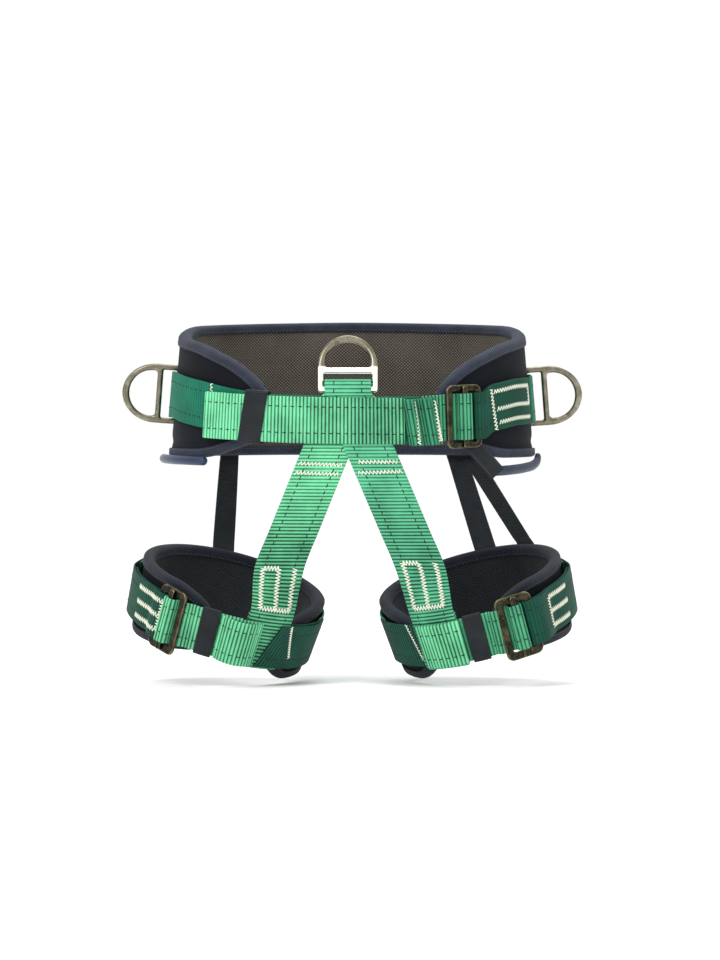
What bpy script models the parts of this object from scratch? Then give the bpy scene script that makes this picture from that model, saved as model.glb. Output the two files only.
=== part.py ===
"""Tree climbing saddle: a padded waist belt with three forged D-rings, two padded leg loops on
crossing bridge straps, friction buckles, elastic keepers, gear loops and elastic suspenders.

Metres, +Z up, the wearer faces -Y. The origin is the middle of the waist opening. Left and right
are as seen from the front: left is -X. Run it in Blender: blender --background --python part.py
"""

import math

import bmesh
import bpy
from mathutils import Matrix, Vector

# Webbing
WEB_WIDTH = 0.045
WEB_THICK = 0.0016
PLY_STEP = 0.0021
PLY_CLEAR = 0.0030
ELASTIC_WIDTH = 0.022
ELASTIC_THICK = 0.0014
SLEEVE_WALL = 0.0012
GAP = 0.0004

# Waist pad, wrapped round an ellipse. Turns are degrees round the body from the front.
WAIST_HALF_WIDTH = 0.1625
WAIST_HALF_DEPTH = 0.122
WAIST_THICK = 0.011
WAIST_FLARE = -0.083
WAIST_TIP_TURN = 28.0
WAIST_TOP = [(28, -0.008), (32, 0.012), (42, 0.031), (61, 0.047), (85, 0.053), (108, 0.062), (180, 0.064)]
WAIST_BOTTOM = [(28, -0.036), (33, -0.048), (53, -0.064), (80, -0.065), (110, -0.067), (180, -0.068)]
PAD_SKIN = 0.0012
PAD_INSET = 0.0019
TIP_INSET = 0.0020
WAIST_COLUMNS = 36

# Leg loops: the pad ring is rolled so its inner side hangs lower, and pitched so its front does.
LEG_HALF_WIDTH = 0.0785
LEG_HALF_DEPTH = 0.083
LEG_THICK = 0.009
LEG_FLARE = 0.087
LEG_CENTRE = (0.1235, -0.035, -0.215)
LEG_ROLL = 15.0
LEG_PITCH = 12.0
LEG_TIP_TURNS = (6.0, 330.0)
LEG_TOP = [
    (6, 0.010), (12, 0.027), (33, 0.037), (85, 0.036), (275, 0.036), (300, 0.030), (318, 0.018), (330, 0.006),
]
LEG_BOTTOM = [
    (6, -0.014), (12, -0.024), (34, -0.033), (70, -0.040), (275, -0.040), (308, -0.040), (330, -0.018),
]
LEG_COLUMNS = 28

# Edge binding, a channel folded over the pads' edges
BIND_WIDTH = 0.009
BIND_SKIN = 0.0009
BIND_FOLD = 0.0010

# Belt heights along the turns
BELT_UP = [
    (-38, -0.0225), (-20, -0.0255), (0, -0.0250), (25, -0.0235), (40, -0.0190), (55, -0.0120), (80, -0.0032),
    (106, -0.0056), (180, -0.0060), (254, -0.0079), (275, -0.0080), (300, -0.0100), (318, -0.0190),
]
SIDE_RING_TURNS = (106.0, 254.0)
SIDE_RING_LEANS = (4.5, 4.5)
FRONT_STRAP_TURNS = (52.5, -16.5)
FRONT_STRAP_UP = [(-17, -0.0265), (20, -0.0250), (60, -0.0205)]
FRONT_STRAP_OUT = 0.0187
BELT_FRONT_OUT = 0.0120
BELT_BUCKLE_TURN = -37.5
BELT_BUCKLE_SPIN = -2.0
BELT_KEEPER_TURN = 32.6
BELT_TAIL_TURNS = (-17.8, -28.5)
SIDE_STRAP_LIFT = 0.0006

# Forged D-rings
RING_WIDTH = 0.0585
RING_BOW_RISE = 0.0335
RING_SLOT = 0.0135
RING_BAR = 0.0058
RING_DEPTH = 0.0055
RING_SEAT = 0.0153
RING_ROUND = 0.0019
BAR_CLEAR = 0.0010
EYE_SIDE = 0.005
FRONT_BAR_UP = 0.0045
FRONT_RING_LEAN = 22.0
FRONT_BAR_OUT = 0.0128
LOOP_SLACK = 0.0030
LOOP_STEP = 0.0029

# Buckles: length across the webbing, width along it
BUCKLE_LENGTH = 0.062
BUCKLE_WIDTH = 0.039
BUCKLE_BAR = 0.0062
BUCKLE_DEPTH = 0.0032
LEG_BUCKLE_LENGTH = 0.064
LEG_BUCKLE_WIDTH = 0.038
SLIDE_BAR_WIDTH = 0.0060
SLIDE_BAR_DEPTH = 0.0030

# Bridge straps from the front D-ring down to the leg loops: sideways run for each metre down
BRIDGE_SLOPES = {"left": 0.402, "right": 0.425}
BRIDGE_MIDDLE = -0.004
BRIDGE_START_UP = -0.003
HINGE_UP = -0.067
HINGE_Y = -0.1441
HINGE_GAP = 0.0007
BOX_TOP_UP = -0.166
STRAP_END_TURN = -27.0

# Leg loop hardware, by turn
LEG_BUCKLE_TURNS = {"left": 31.0, "right": 20.0}
LEG_BUCKLE_YAWS = {"left": -14.0, "right": -9.0}
LEG_BUCKLE_LIFTS = {"left": 0.0042, "right": 0.0028}
LEG_KEEPER_TURNS = {"left": 7.5, "right": -4.5}
LEG_TAIL_TURNS = {"left": (-0.5, -22.0), "right": (-13.0, -38.0)}

# Elastic suspenders between the waist pad and the leg loops: turns at top and bottom, and how far
# through the waist pad's thickness the top is
SUSPENDERS = {
    "suspender_left_rear": ("left", 137.0, 169.0, 0.5),
    "suspender_right_rear": ("right", 215.0, 166.0, 0.78),
    "suspender_right_side": ("right", 220.5, 138.0, 0.25),
}

# Gear loops, by the turns of their two ends
GEAR_LOOPS = {"left": (51.0, 86.0), "right": (315.0, 277.0)}
GEAR_ROD = 0.0045
GEAR_UP = {"left": -0.0615, "right": -0.0680}


def clear_scene():
    for old in list(bpy.data.objects):
        bpy.data.objects.remove(old, do_unlink=True)


def material(name, colour, roughness, metallic=0.0):
    found = bpy.data.materials.get(name)
    if found:
        return found
    made = bpy.data.materials.new(name)
    made.use_nodes = True
    shader = made.node_tree.nodes["Principled BSDF"]
    shader.inputs["Base Color"].default_value = (*colour, 1.0)
    shader.inputs["Roughness"].default_value = roughness
    shader.inputs["Metallic"].default_value = metallic
    return made


def green_webbing():
    return material("green_webbing", (0.02, 0.28, 0.14), 0.6)


def dark_webbing():
    return material("dark_green_webbing", (0.006, 0.13, 0.075), 0.65)


def black_fabric():
    return material("black_fabric", (0.012, 0.012, 0.018), 0.85)


def mesh_lining():
    return material("mesh_lining", (0.045, 0.035, 0.028), 0.9)


def binding_tape():
    return material("binding_tape", (0.04, 0.03, 0.05), 0.7)


def foam():
    return material("foam", (0.25, 0.25, 0.25), 0.95)


def black_elastic():
    return material("black_elastic", (0.014, 0.012, 0.016), 0.8)


def forged_steel():
    return material("forged_steel", (0.55, 0.50, 0.40), 0.3, 1.0)


def bronze_steel():
    return material("bronze_steel", (0.16, 0.11, 0.05), 0.35, 1.0)


def gear_plastic(name, colour):
    return material(name, colour, 0.35)


def along(knots, turn):
    """The height at a turn, on straight lines between knots listed in rising order of turn."""
    if turn <= knots[0][0]:
        return knots[0][1]
    for (t0, v0), (t1, v1) in zip(knots, knots[1:]):
        if turn <= t1:
            part = (turn - t0) / (t1 - t0)
            return v0 + (v1 - v0) * part
    return knots[-1][1]


def spread(start, end, count):
    return [start + (end - start) * i / (count - 1) for i in range(count)]


def add_object(name, mesh, mat):
    mesh.materials.append(mat)
    made = bpy.data.objects.new(name, mesh)
    bpy.context.collection.objects.link(made)
    return made


def loft(name, sections, mat, closed=False):
    """One closed body through sections of equal point count; closed joins the last to the first."""
    bm = bmesh.new()
    rings = [[bm.verts.new(p) for p in section] for section in sections]
    count = len(rings[0])
    pairs = list(zip(rings, rings[1:]))
    if closed:
        pairs.append((rings[-1], rings[0]))
    for low, high in pairs:
        for i in range(count):
            j = (i + 1) % count
            bm.faces.new((low[i], low[j], high[j], high[i]))
    if not closed:
        bm.faces.new(list(reversed(rings[0])))
        bm.faces.new(rings[-1])
    bmesh.ops.recalc_face_normals(bm, faces=bm.faces)
    mesh = bpy.data.meshes.new(name)
    bm.to_mesh(mesh)
    bm.free()
    return add_object(name, mesh, mat)


class Wrap:
    """A surface round the body. A place on it is a turn in degrees from the front, a distance out
    from the pad's inner face, and a distance up from the middle. A positive turn goes to -X on the
    waist and on the left leg, and to +X on the right leg, whose side is -1."""

    def __init__(self, centre, half_width, half_depth, flare, roll=0.0, pitch=0.0, side=1):
        self.centre = Vector(centre)
        self.half_width = half_width
        self.half_depth = half_depth
        self.flare = flare
        self.side = side
        lean = Matrix.Rotation(math.radians(roll * side), 3, "Y")
        self.tilt = lean @ Matrix.Rotation(math.radians(pitch), 3, "X")

    def point(self, turn, out, up):
        a = math.radians(turn)
        foot = Vector((-self.half_width * math.sin(a), -self.half_depth * math.cos(a), 0.0))
        normal = Vector((-math.sin(a) / self.half_width, -math.cos(a) / self.half_depth, 0.0)).normalized()
        local = foot + normal * (out + self.flare * up)
        return self.centre + self.tilt @ Vector((local.x * self.side, local.y, up))

    def basis(self, turn, out, up):
        """Directions there: along a rising turn, outward and up the surface."""
        step = 0.5
        middle = self.point(turn, out, up)
        ahead = (self.point(turn + step, out, up) - self.point(turn - step, out, up)).normalized()
        rise = (self.point(turn, out, up + 0.001) - middle).normalized()
        outward = (self.point(turn, out + 0.001, up) - middle).normalized()
        return ahead, outward, rise

    def matrix(self, turn, out, up, spin=0.0, yaw=0.0):
        """A placement there: X to the right as seen from outside, Y inward and Z up, then spun about
        Y and yawed about Z."""
        ahead, outward, rise = self.basis(turn, out, up)
        inward = -outward
        x = inward.cross(rise).normalized()
        z = x.cross(inward).normalized()
        turned = Matrix((x, inward, z)).transposed().to_4x4()
        turned = turned @ Matrix.Rotation(spin, 4, "Y") @ Matrix.Rotation(yaw, 4, "Z")
        return Matrix.Translation(self.point(turn, out, up)) @ turned

    def turn_rate(self, turn, out):
        """Metres along the surface for each degree of turn."""
        return (self.point(turn + 0.5, out, 0) - self.point(turn - 0.5, out, 0)).length


WAIST = Wrap((0, 0, 0), WAIST_HALF_WIDTH, WAIST_HALF_DEPTH, WAIST_FLARE)
LEGS = {
    "left": Wrap(
        (-LEG_CENTRE[0], *LEG_CENTRE[1:]), LEG_HALF_WIDTH, LEG_HALF_DEPTH, LEG_FLARE, LEG_ROLL, LEG_PITCH, 1
    ),
    "right": Wrap(LEG_CENTRE, LEG_HALF_WIDTH, LEG_HALF_DEPTH, LEG_FLARE, LEG_ROLL, LEG_PITCH, -1),
}


def layer(thick, ply):
    """How far out a ply of webbing has its middle, on a pad of that thickness."""
    return thick + PLY_CLEAR + WEB_THICK / 2 + ply * PLY_STEP


def settle(point, amount):
    """A point moved back so that what lies flat in front of the body follows the belly's curve."""
    half_width = WAIST_HALF_WIDTH + FRONT_BAR_OUT
    half_depth = WAIST_HALF_DEPTH + FRONT_BAR_OUT
    lateral = point.x / half_width
    drop = half_depth * (1 - math.sqrt(1 - lateral * lateral))
    return point + Vector((0, amount * drop, 0))


def ribbon_sections(stations, width=WEB_WIDTH, thick=WEB_THICK, strips=1):
    """Sections of webbing through stations: each a middle, the direction of its width and, where they
    differ from the others, its own width and how far it settles on the belly, from 0 to 1."""
    sections = []
    centres = [station[0] for station in stations]
    last = len(stations) - 1
    lateral = [i / strips - 0.5 for i in range(strips + 1)]
    for i, station in enumerate(stations):
        across = station[1].normalized()
        own_width = station[2] if len(station) > 2 else width
        amount = station[3] if len(station) > 3 else 0.0
        ahead = (centres[min(i + 1, last)] - centres[max(i - 1, 0)]).normalized()
        face = ahead.cross(across).normalized() * (thick / 2)
        near = [centres[i] + across * (own_width * u) - face for u in lateral]
        far = [centres[i] + across * (own_width * u) + face for u in reversed(lateral)]
        sections.append([settle(p, amount) if amount else p for p in near + far])
    return sections


def ribbon(name, stations, mat, width=WEB_WIDTH, thick=WEB_THICK, strips=1):
    return loft(name, ribbon_sections(stations, width, thick, strips), mat)


def on_wrap(wrap, turn, out, up):
    """A ribbon station on a wrap, its width up the surface."""
    return wrap.point(turn, out, up), wrap.basis(turn, out, up)[2]


def on_plate(placement, x, y):
    """A ribbon station beside a buckle, its width along the buckle's own Z."""
    return placement @ Vector((x, y, 0)), placement.to_3x3() @ Vector((0, 0, 1))


def pad_edge(wrap, turns, top, bottom):
    """The pad's edge as (turn, up) points in order, with the inward direction at each."""
    upper = [(t, along(top, t)) for t in turns]
    lower = [(t, along(bottom, t)) for t in turns]
    tall = [(upper[-1][0], upper[-1][1] * 0.5 + lower[-1][1] * 0.5)]
    short = [(upper[0][0], upper[0][1] * 0.5 + lower[0][1] * 0.5)]
    loop = upper + tall + list(reversed(lower)) + short
    edge = []
    count = len(loop)
    for i, (turn, up) in enumerate(loop):
        rate = wrap.turn_rate(turn, 0.0)
        before, after = loop[i - 1], loop[(i + 1) % count]
        run = Vector(((after[0] - before[0]) * rate, after[1] - before[1])).normalized()
        edge.append((turn, up, run.y / rate, -run.x))
    return edge


def mirrored_knots(knots):
    return knots + [(360 - t, v) for t, v in reversed(knots[:-1])]


def steepness(knots, turn, wrap):
    """How much further up a sloping edge has to move to move by one across itself."""
    rise = (along(knots, turn + 1) - along(knots, turn - 1)) / (2 * wrap.turn_rate(turn, 0.0))
    return math.sqrt(1 + rise * rise)


def pad(prefix, wrap, turns, top, bottom, thick):
    """Cover, foam core, mesh lining and edge binding of one pad."""
    plies = (
        ("lining", 0.0, PAD_SKIN, mesh_lining()),
        ("core", PAD_SKIN + GAP, thick - PAD_SKIN - GAP, foam()),
        ("cover", thick - PAD_SKIN, thick, black_fabric()),
    )
    trim = TIP_INSET / wrap.turn_rate(turns[0], 0.0)
    shifted = [turns[0] + trim] + turns[2:-2] + [turns[-1] - trim]
    for part_name, inner, outer, mat in plies:
        sections = []
        for turn in shifted:
            low = along(bottom, turn) + PAD_INSET * steepness(bottom, turn, wrap)
            high = along(top, turn) - PAD_INSET * steepness(top, turn, wrap)
            corners = ((inner, low), (inner, high), (outer, high), (outer, low))
            sections.append([wrap.point(turn, *corner) for corner in corners])
        loft(f"{prefix}_pad_{part_name}", sections, mat)
    near = -GAP - BIND_SKIN
    far = thick + GAP + BIND_SKIN
    outside = ((BIND_WIDTH, far), (0.0, far), (0.0, near), (BIND_WIDTH, near))
    inside = ((BIND_WIDTH, -GAP), (BIND_FOLD, -GAP), (BIND_FOLD, thick + GAP), (BIND_WIDTH, thick + GAP))
    sections = []
    for turn, up, in_turn, in_up in pad_edge(wrap, turns, top, bottom):
        sections.append([wrap.point(turn + in_turn * d, out, up + in_up * d) for d, out in outside + inside])
    loft(f"{prefix}_pad_binding", sections, binding_tape(), closed=True)


def plate_with_windows(name, outline, windows, depth, bevel, mat, placement):
    """A plate in its own XZ plane, Y its thickness, with windows cut through and its edges rounded."""
    def prism(label, points, thick):
        bm = bmesh.new()
        front = [bm.verts.new((x, -thick / 2, z)) for x, z in points]
        back = [bm.verts.new((x, thick / 2, z)) for x, z in points]
        bm.faces.new(front)
        bm.faces.new(list(reversed(back)))
        for i in range(len(points)):
            j = (i + 1) % len(points)
            bm.faces.new((front[i], front[j], back[j], back[i]))
        bmesh.ops.recalc_face_normals(bm, faces=bm.faces)
        mesh = bpy.data.meshes.new(label)
        bm.to_mesh(mesh)
        bm.free()
        return mesh

    plate = add_object(name, prism(name, outline, depth), mat)
    plate.matrix_world = placement
    for i, window in enumerate(windows):
        cutter = add_object(f"{name}_cutter{i}", prism(f"{name}_cutter{i}", window, depth * 3), mat)
        cutter.matrix_world = placement
        cutter.hide_render = True
        cutter.display_type = "WIRE"
        cut = plate.modifiers.new(f"window{i}", "BOOLEAN")
        cut.operation = "DIFFERENCE"
        cut.object = cutter
    rounding = plate.modifiers.new("rounding", "BEVEL")
    rounding.width = bevel
    rounding.segments = 2
    rounding.use_clamp_overlap = False
    rounding.limit_method = "ANGLE"
    rounding.angle_limit = math.radians(50)
    plate.data.shade_smooth()
    return plate


def rounded_box(half_x, half_z, radius, steps=4):
    """Corners of a rounded rectangle, anticlockwise."""
    points = []
    for corner, (sx, sz) in enumerate(((1, 1), (-1, 1), (-1, -1), (1, -1))):
        for i in range(steps + 1):
            a = math.radians(90 * (corner + i / steps))
            x = sx * (half_x - radius) + radius * math.cos(a)
            points.append((x, sz * (half_z - radius) + radius * math.sin(a)))
    return points


def d_outline(half_width, bow_base, bow_rise, foot, corner, steps=12):
    """A D standing on its straight bar: an elliptic bow above bow_base, straight arms down to foot."""
    points = []
    for i in range(steps + 1):
        a = math.pi * i / steps
        points.append((half_width * math.cos(a), bow_base + bow_rise * math.sin(a)))
    for sx, start in ((-1, 180), (1, 270)):
        for i in range(3):
            a = math.radians(start + 45 * i)
            x = sx * (half_width - corner) + corner * math.cos(a)
            points.append((x, foot + corner + corner * math.sin(a)))
    return points


def d_ring(name, placement):
    """A forged D-ring. Its origin is on the slot bar, its local +Z points to the bow."""
    half = RING_WIDTH / 2
    inner = half - RING_BAR
    slot_top = RING_BAR / 2 + RING_SLOT
    eye_base = slot_top + RING_BAR
    outline = d_outline(half, eye_base, RING_BOW_RISE, -RING_BAR / 2, 0.003)
    eye = d_outline(inner, eye_base + EYE_SIDE, RING_BOW_RISE - RING_BAR - EYE_SIDE, eye_base, 0.002)
    slot = [(x, z + RING_BAR / 2 + RING_SLOT / 2) for x, z in rounded_box(inner, RING_SLOT / 2, 0.0012, 2)]
    return plate_with_windows(name, outline, (eye, slot), RING_DEPTH, RING_ROUND, forged_steel(), placement)


def slide_frame(name, length, width, mat, placement):
    """A buckle frame: a rounded rectangle with one window."""
    outline = rounded_box(width / 2, length / 2, 0.007, 4)
    window = rounded_box(width / 2 - BUCKLE_BAR, length / 2 - BUCKLE_BAR, 0.002, 2)
    return plate_with_windows(name, outline, (window,), BUCKLE_DEPTH, 0.0010, mat, placement)


def slide_bar(name, length, mat, placement):
    """The knurled bar that slides on the frame's front face, bearing on its two short sides."""
    bar = rounded_box(SLIDE_BAR_WIDTH / 2, length / 2 - 0.0012, 0.002, 2)
    lift = Matrix.Translation((0, -(BUCKLE_DEPTH + SLIDE_BAR_DEPTH) / 2 - GAP, 0))
    return plate_with_windows(name, bar, (), SLIDE_BAR_DEPTH, 0.0008, mat, placement @ lift)


def sleeve(name, wrap, turns, out, up, thick_inside, slack, mat):
    """An elastic keeper: a closed loop round the webbing, open at its two ends."""
    sections = []
    for turn in turns:
        rows = []
        for wall in (SLEEVE_WALL, 0.0):
            near = out - wall
            far = out + thick_inside + wall
            high = up(turn) + WEB_WIDTH / 2 + slack + wall
            low = up(turn) - WEB_WIDTH / 2 - slack - wall
            rows.append([wrap.point(turn, *c) for c in ((near, low), (near, high), (far, high), (far, low))])
        sections.append(rows)
    bm = bmesh.new()
    shells = [[bm.verts.new(p) for p in s[0]] for s in sections]
    rims = [[bm.verts.new(p) for p in s[1]] for s in sections]
    for rows, flip in ((shells, 1), (rims, -1)):
        for low, high in zip(rows, rows[1:]):
            for i in range(4):
                j = (i + 1) % 4
                bm.faces.new((low[i], low[j], high[j], high[i])[::flip])
    for end in (0, -1):
        for i in range(4):
            j = (i + 1) % 4
            bm.faces.new((shells[end][i], shells[end][j], rims[end][j], rims[end][i]))
    bmesh.ops.recalc_face_normals(bm, faces=bm.faces)
    mesh = bpy.data.meshes.new(name)
    bm.to_mesh(mesh)
    bm.free()
    return add_object(name, mesh, mat)


def smooth_points(route, per_span):
    """Catmull-Rom points through a route."""
    padded = [route[0] * 2 - route[1]] + list(route) + [route[-1] * 2 - route[-2]]
    points = []
    for i in range(1, len(padded) - 2):
        p0, p1, p2, p3 = padded[i - 1 : i + 3]
        for k in range(per_span):
            t = k / per_span
            points.append(
                0.5
                * (
                    p1 * 2
                    + (p2 - p0) * t
                    + (p0 * 2 - p1 * 5 + p2 * 4 - p3) * t * t
                    + (p1 * 3 - p0 - p2 * 3 + p3) * t * t * t
                )
            )
    points.append(route[-1].copy())
    return points


def rod(name, route, radius, mat, sides=8, per_span=5):
    """A round rod along a smooth route, kept from twisting by one reference direction."""
    points = smooth_points(route, per_span)
    sections = []
    for i, p in enumerate(points):
        ahead = (points[min(i + 1, len(points) - 1)] - points[max(i - 1, 0)]).normalized()
        side = ahead.cross(Vector((0, 0, 1))).normalized()
        top = side.cross(ahead)
        turn = [2 * math.pi * k / sides for k in range(sides)]
        sections.append([p + (side * math.cos(a) + top * math.sin(a)) * radius for a in turn])
    return loft(name, sections, mat)


def ring_placement(origin, along_bar, to_bow):
    """A D-ring's placement from its slot bar's middle, the bar's direction and the bow's direction."""
    x = along_bar.normalized()
    z = (to_bow - x * to_bow.dot(x)).normalized()
    y = z.cross(x)
    return Matrix.Translation(origin) @ Matrix((x, y, z)).transposed().to_4x4()


def belt_out(turn):
    """How far out the main belt webbing's middle runs: in at the front, and out over each slot bar."""
    out = layer(WAIST_THICK, 0)
    if turn < 26:
        front = BELT_FRONT_OUT + WEB_THICK / 2
        part = max(0.0, (abs(turn) - 17) / 9)
        return front + (out - front) * min(1.0, part)
    over_bar = RING_SEAT + RING_BAR / 2 + BAR_CLEAR + WEB_THICK / 2
    rise = max(math.exp(-(((turn - ring) / 4.0) ** 4)) for ring in SIDE_RING_TURNS)
    return out + (over_bar - out) * rise


def buckle_roll(placement, inner):
    """Webbing that comes from the inner side under a buckle's bar and rolls over its sliding bar."""
    under = BUCKLE_DEPTH / 2 + GAP + WEB_THICK / 2
    over = -(BUCKLE_DEPTH / 2 + SLIDE_BAR_DEPTH + 2 * GAP + WEB_THICK / 2 + 0.0002)
    side = SLIDE_BAR_WIDTH / 2 + 0.0024
    route = ((0.0105, under), (side, under - 0.0006), (side, over / 2), (side - 0.0012, over), (0, over))
    there = [on_plate(placement, inner * x, y) for x, y in route]
    back = [on_plate(placement, -inner * x, y) for x, y in reversed(route[1:-1])]
    return there + back


def buckle_return(placement, outer, width):
    """Webbing folded round a buckle's outer bar, from behind the bar to in front of it."""
    off = BUCKLE_DEPTH / 2 + GAP + WEB_THICK / 2
    edge = width / 2 - BUCKLE_BAR
    rear = [(width / 2 + 0.0015, off), (edge - 0.0002, off), (edge - 0.0013, off - 0.0008)]
    rear.append((edge - 0.0016, 0))
    route = rear + [(x, -y) for x, y in reversed(rear[:-1])]
    return [on_plate(placement, outer * x, y) for x, y in route]


def build_waist():
    turns = [WAIST_TIP_TURN + 1.2, 31.0, 34.0] + spread(40.0, 320.0, WAIST_COLUMNS)
    turns = [WAIST_TIP_TURN] + turns + [326.0, 329.0, 360 - WAIST_TIP_TURN - 1.2, 360 - WAIST_TIP_TURN]
    pad("waist", WAIST, turns, mirrored_knots(WAIST_TOP), mirrored_knots(WAIST_BOTTOM), WAIST_THICK)

    buckle_out = layer(WAIST_THICK, 0) + WEB_THICK / 2 + GAP + BUCKLE_DEPTH / 2 + 0.0002
    buckle_up = along(BELT_UP, BELT_BUCKLE_TURN)
    place = WAIST.matrix(BELT_BUCKLE_TURN, buckle_out, buckle_up, math.radians(BELT_BUCKLE_SPIN))
    slide_frame("belt_buckle_frame", BUCKLE_LENGTH, BUCKLE_WIDTH, bronze_steel(), place)
    slide_bar("belt_buckle_bar", BUCKLE_LENGTH, bronze_steel(), place)

    roll = list(reversed(buckle_roll(place, -1)))
    front = [on_wrap(WAIST, t, belt_out(t), along(BELT_UP, t)) for t in spread(-26.0, 26.0, 14)]
    bends = [b + d for b in SIDE_RING_TURNS for d in (-9, -6.5, -4.5, -2, 2, 4.5, 6.5, 9)]
    rest = sorted(spread(30.0, 90.0, 11) + spread(128.0, 232.0, 13) + [264.0, 272.0, 280.0] + bends)
    sides = [on_wrap(WAIST, t, belt_out(t), along(BELT_UP, t)) for t in rest]
    ribbon("belt_main_webbing", roll + front + sides, green_webbing())

    fold = buckle_return(place, 1, BUCKLE_WIDTH)
    rear = layer(WAIST_THICK, 1)
    crest = layer(WAIST_THICK, 2)
    inner_turns = [284.0, 290.0, 298.0, 305.0, 311.0]
    start = [on_wrap(WAIST, t, rear, along(BELT_UP, t)) for t in inner_turns]
    outer_turns = reversed(inner_turns[1:])
    end = [on_wrap(WAIST, t, crest + SIDE_STRAP_LIFT * (t > 300), along(BELT_UP, t)) for t in outer_turns]
    ribbon("belt_side_strap", start + fold + end, dark_webbing())

    first, last = BELT_TAIL_TURNS
    low = [on_wrap(WAIST, t, layer(WAIST_THICK, 1), along(BELT_UP, t)) for t in spread(last, first, 5)]
    high = [on_wrap(WAIST, t, layer(WAIST_THICK, 2), along(BELT_UP, t)) for t in spread(first, last - 0.8, 5)]
    bend = [on_wrap(WAIST, first + 0.45, layer(WAIST_THICK, 1.5), along(BELT_UP, first))]
    ribbon("belt_tail", low + bend + high, dark_webbing())

    out = FRONT_STRAP_OUT + WEB_THICK / 2
    start, end = FRONT_STRAP_TURNS
    ribbon(
        "belt_front_strap",
        [on_wrap(WAIST, t, out, along(FRONT_STRAP_UP, t)) for t in spread(start, end, 18)],
        green_webbing(),
    )
    sleeve(
        "belt_keeper",
        WAIST,
        spread(BELT_KEEPER_TURN - 3.6, BELT_KEEPER_TURN + 3.6, 4),
        layer(WAIST_THICK, 0) - WEB_THICK / 2 - GAP,
        lambda t: (along(FRONT_STRAP_UP, t) + along(BELT_UP, t)) / 2,
        2 * PLY_STEP + WEB_THICK + 0.0014,
        0.0022,
        black_elastic(),
    )


def build_side_rings():
    for label, turn, lean in zip(("left", "right"), SIDE_RING_TURNS, SIDE_RING_LEANS):
        up = along(BELT_UP, turn)
        origin = WAIST.point(turn, RING_SEAT, up)
        outward = WAIST.basis(turn, RING_SEAT, up)[1]
        outward.z = 0.0
        outward.normalize()
        a = math.radians(lean)
        bar = Vector((0, 0, 1)) * math.cos(a) - outward * math.sin(a)
        sideways = Vector((-1 if label == "left" else 1, 0, 0))
        d_ring(f"d_ring_{label}", ring_placement(origin, bar, sideways))


def build_front_ring():
    origin = WAIST.point(0.0, FRONT_BAR_OUT, 0.0) + Vector((BRIDGE_MIDDLE, 0, FRONT_BAR_UP))
    a = math.radians(FRONT_RING_LEAN)
    leaning = Vector((0, math.sin(a), math.cos(a)))
    d_ring("d_ring_front", ring_placement(origin, Vector((1, 0, 0)), leaning))


def bridge_x(side, up):
    sign = -1 if side == "left" else 1
    return BRIDGE_MIDDLE + sign * BRIDGE_SLOPES[side] * max(0.0, BRIDGE_START_UP - up)


def bridge_station(side, out, up):
    """A station on a bridge strap in front of the body, cut level so its width runs along X."""
    slant = min(1.0, max(0.0, (FRONT_BAR_UP - up) / 0.03))
    width = WEB_WIDTH * (1 + slant * (math.sqrt(1 + BRIDGE_SLOPES[side] ** 2) - 1))
    middle = Vector((bridge_x(side, up), WAIST.point(0.0, out, min(up, 0.0)).y, up))
    settled = min(1.0, max(0.0, (0.003 - up) / 0.008))
    return middle, Vector((1, 0, 0)), width, settled


def build_bridge(side, nest):
    """The upper part of one bridge strap: up behind the belt, round the slot bar, down in front."""
    rear = BELT_FRONT_OUT - PLY_STEP * (1 + nest) + WEB_THICK / 2
    fore = BELT_FRONT_OUT + PLY_STEP * (1 + nest) + WEB_THICK / 2
    reach = RING_DEPTH / 2 + BAR_CLEAR + WEB_THICK / 2 + nest * PLY_STEP
    rise = RING_BAR / 2 + LOOP_SLACK + nest * LOOP_STEP
    ups = spread(-0.060, -0.004, 6)
    stations = [bridge_station(side, rear, up) for up in ups]
    stations.append(bridge_station(side, rear * 0.2 + (FRONT_BAR_OUT - reach) * 0.8, 0.0015))
    for i in range(9):
        a = math.pi * i / 8
        up = FRONT_BAR_UP + rise * math.sin(a)
        stations.append(bridge_station(side, FRONT_BAR_OUT - reach * math.cos(a), up))
    stations.append(bridge_station(side, fore * 0.2 + (FRONT_BAR_OUT + reach) * 0.8, 0.0015))
    stations += [bridge_station(side, fore, up) for up in reversed([HINGE_UP + HINGE_GAP] + ups[1:])]
    ribbon(f"bridge_strap_{side}", stations, green_webbing(), strips=4)


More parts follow.
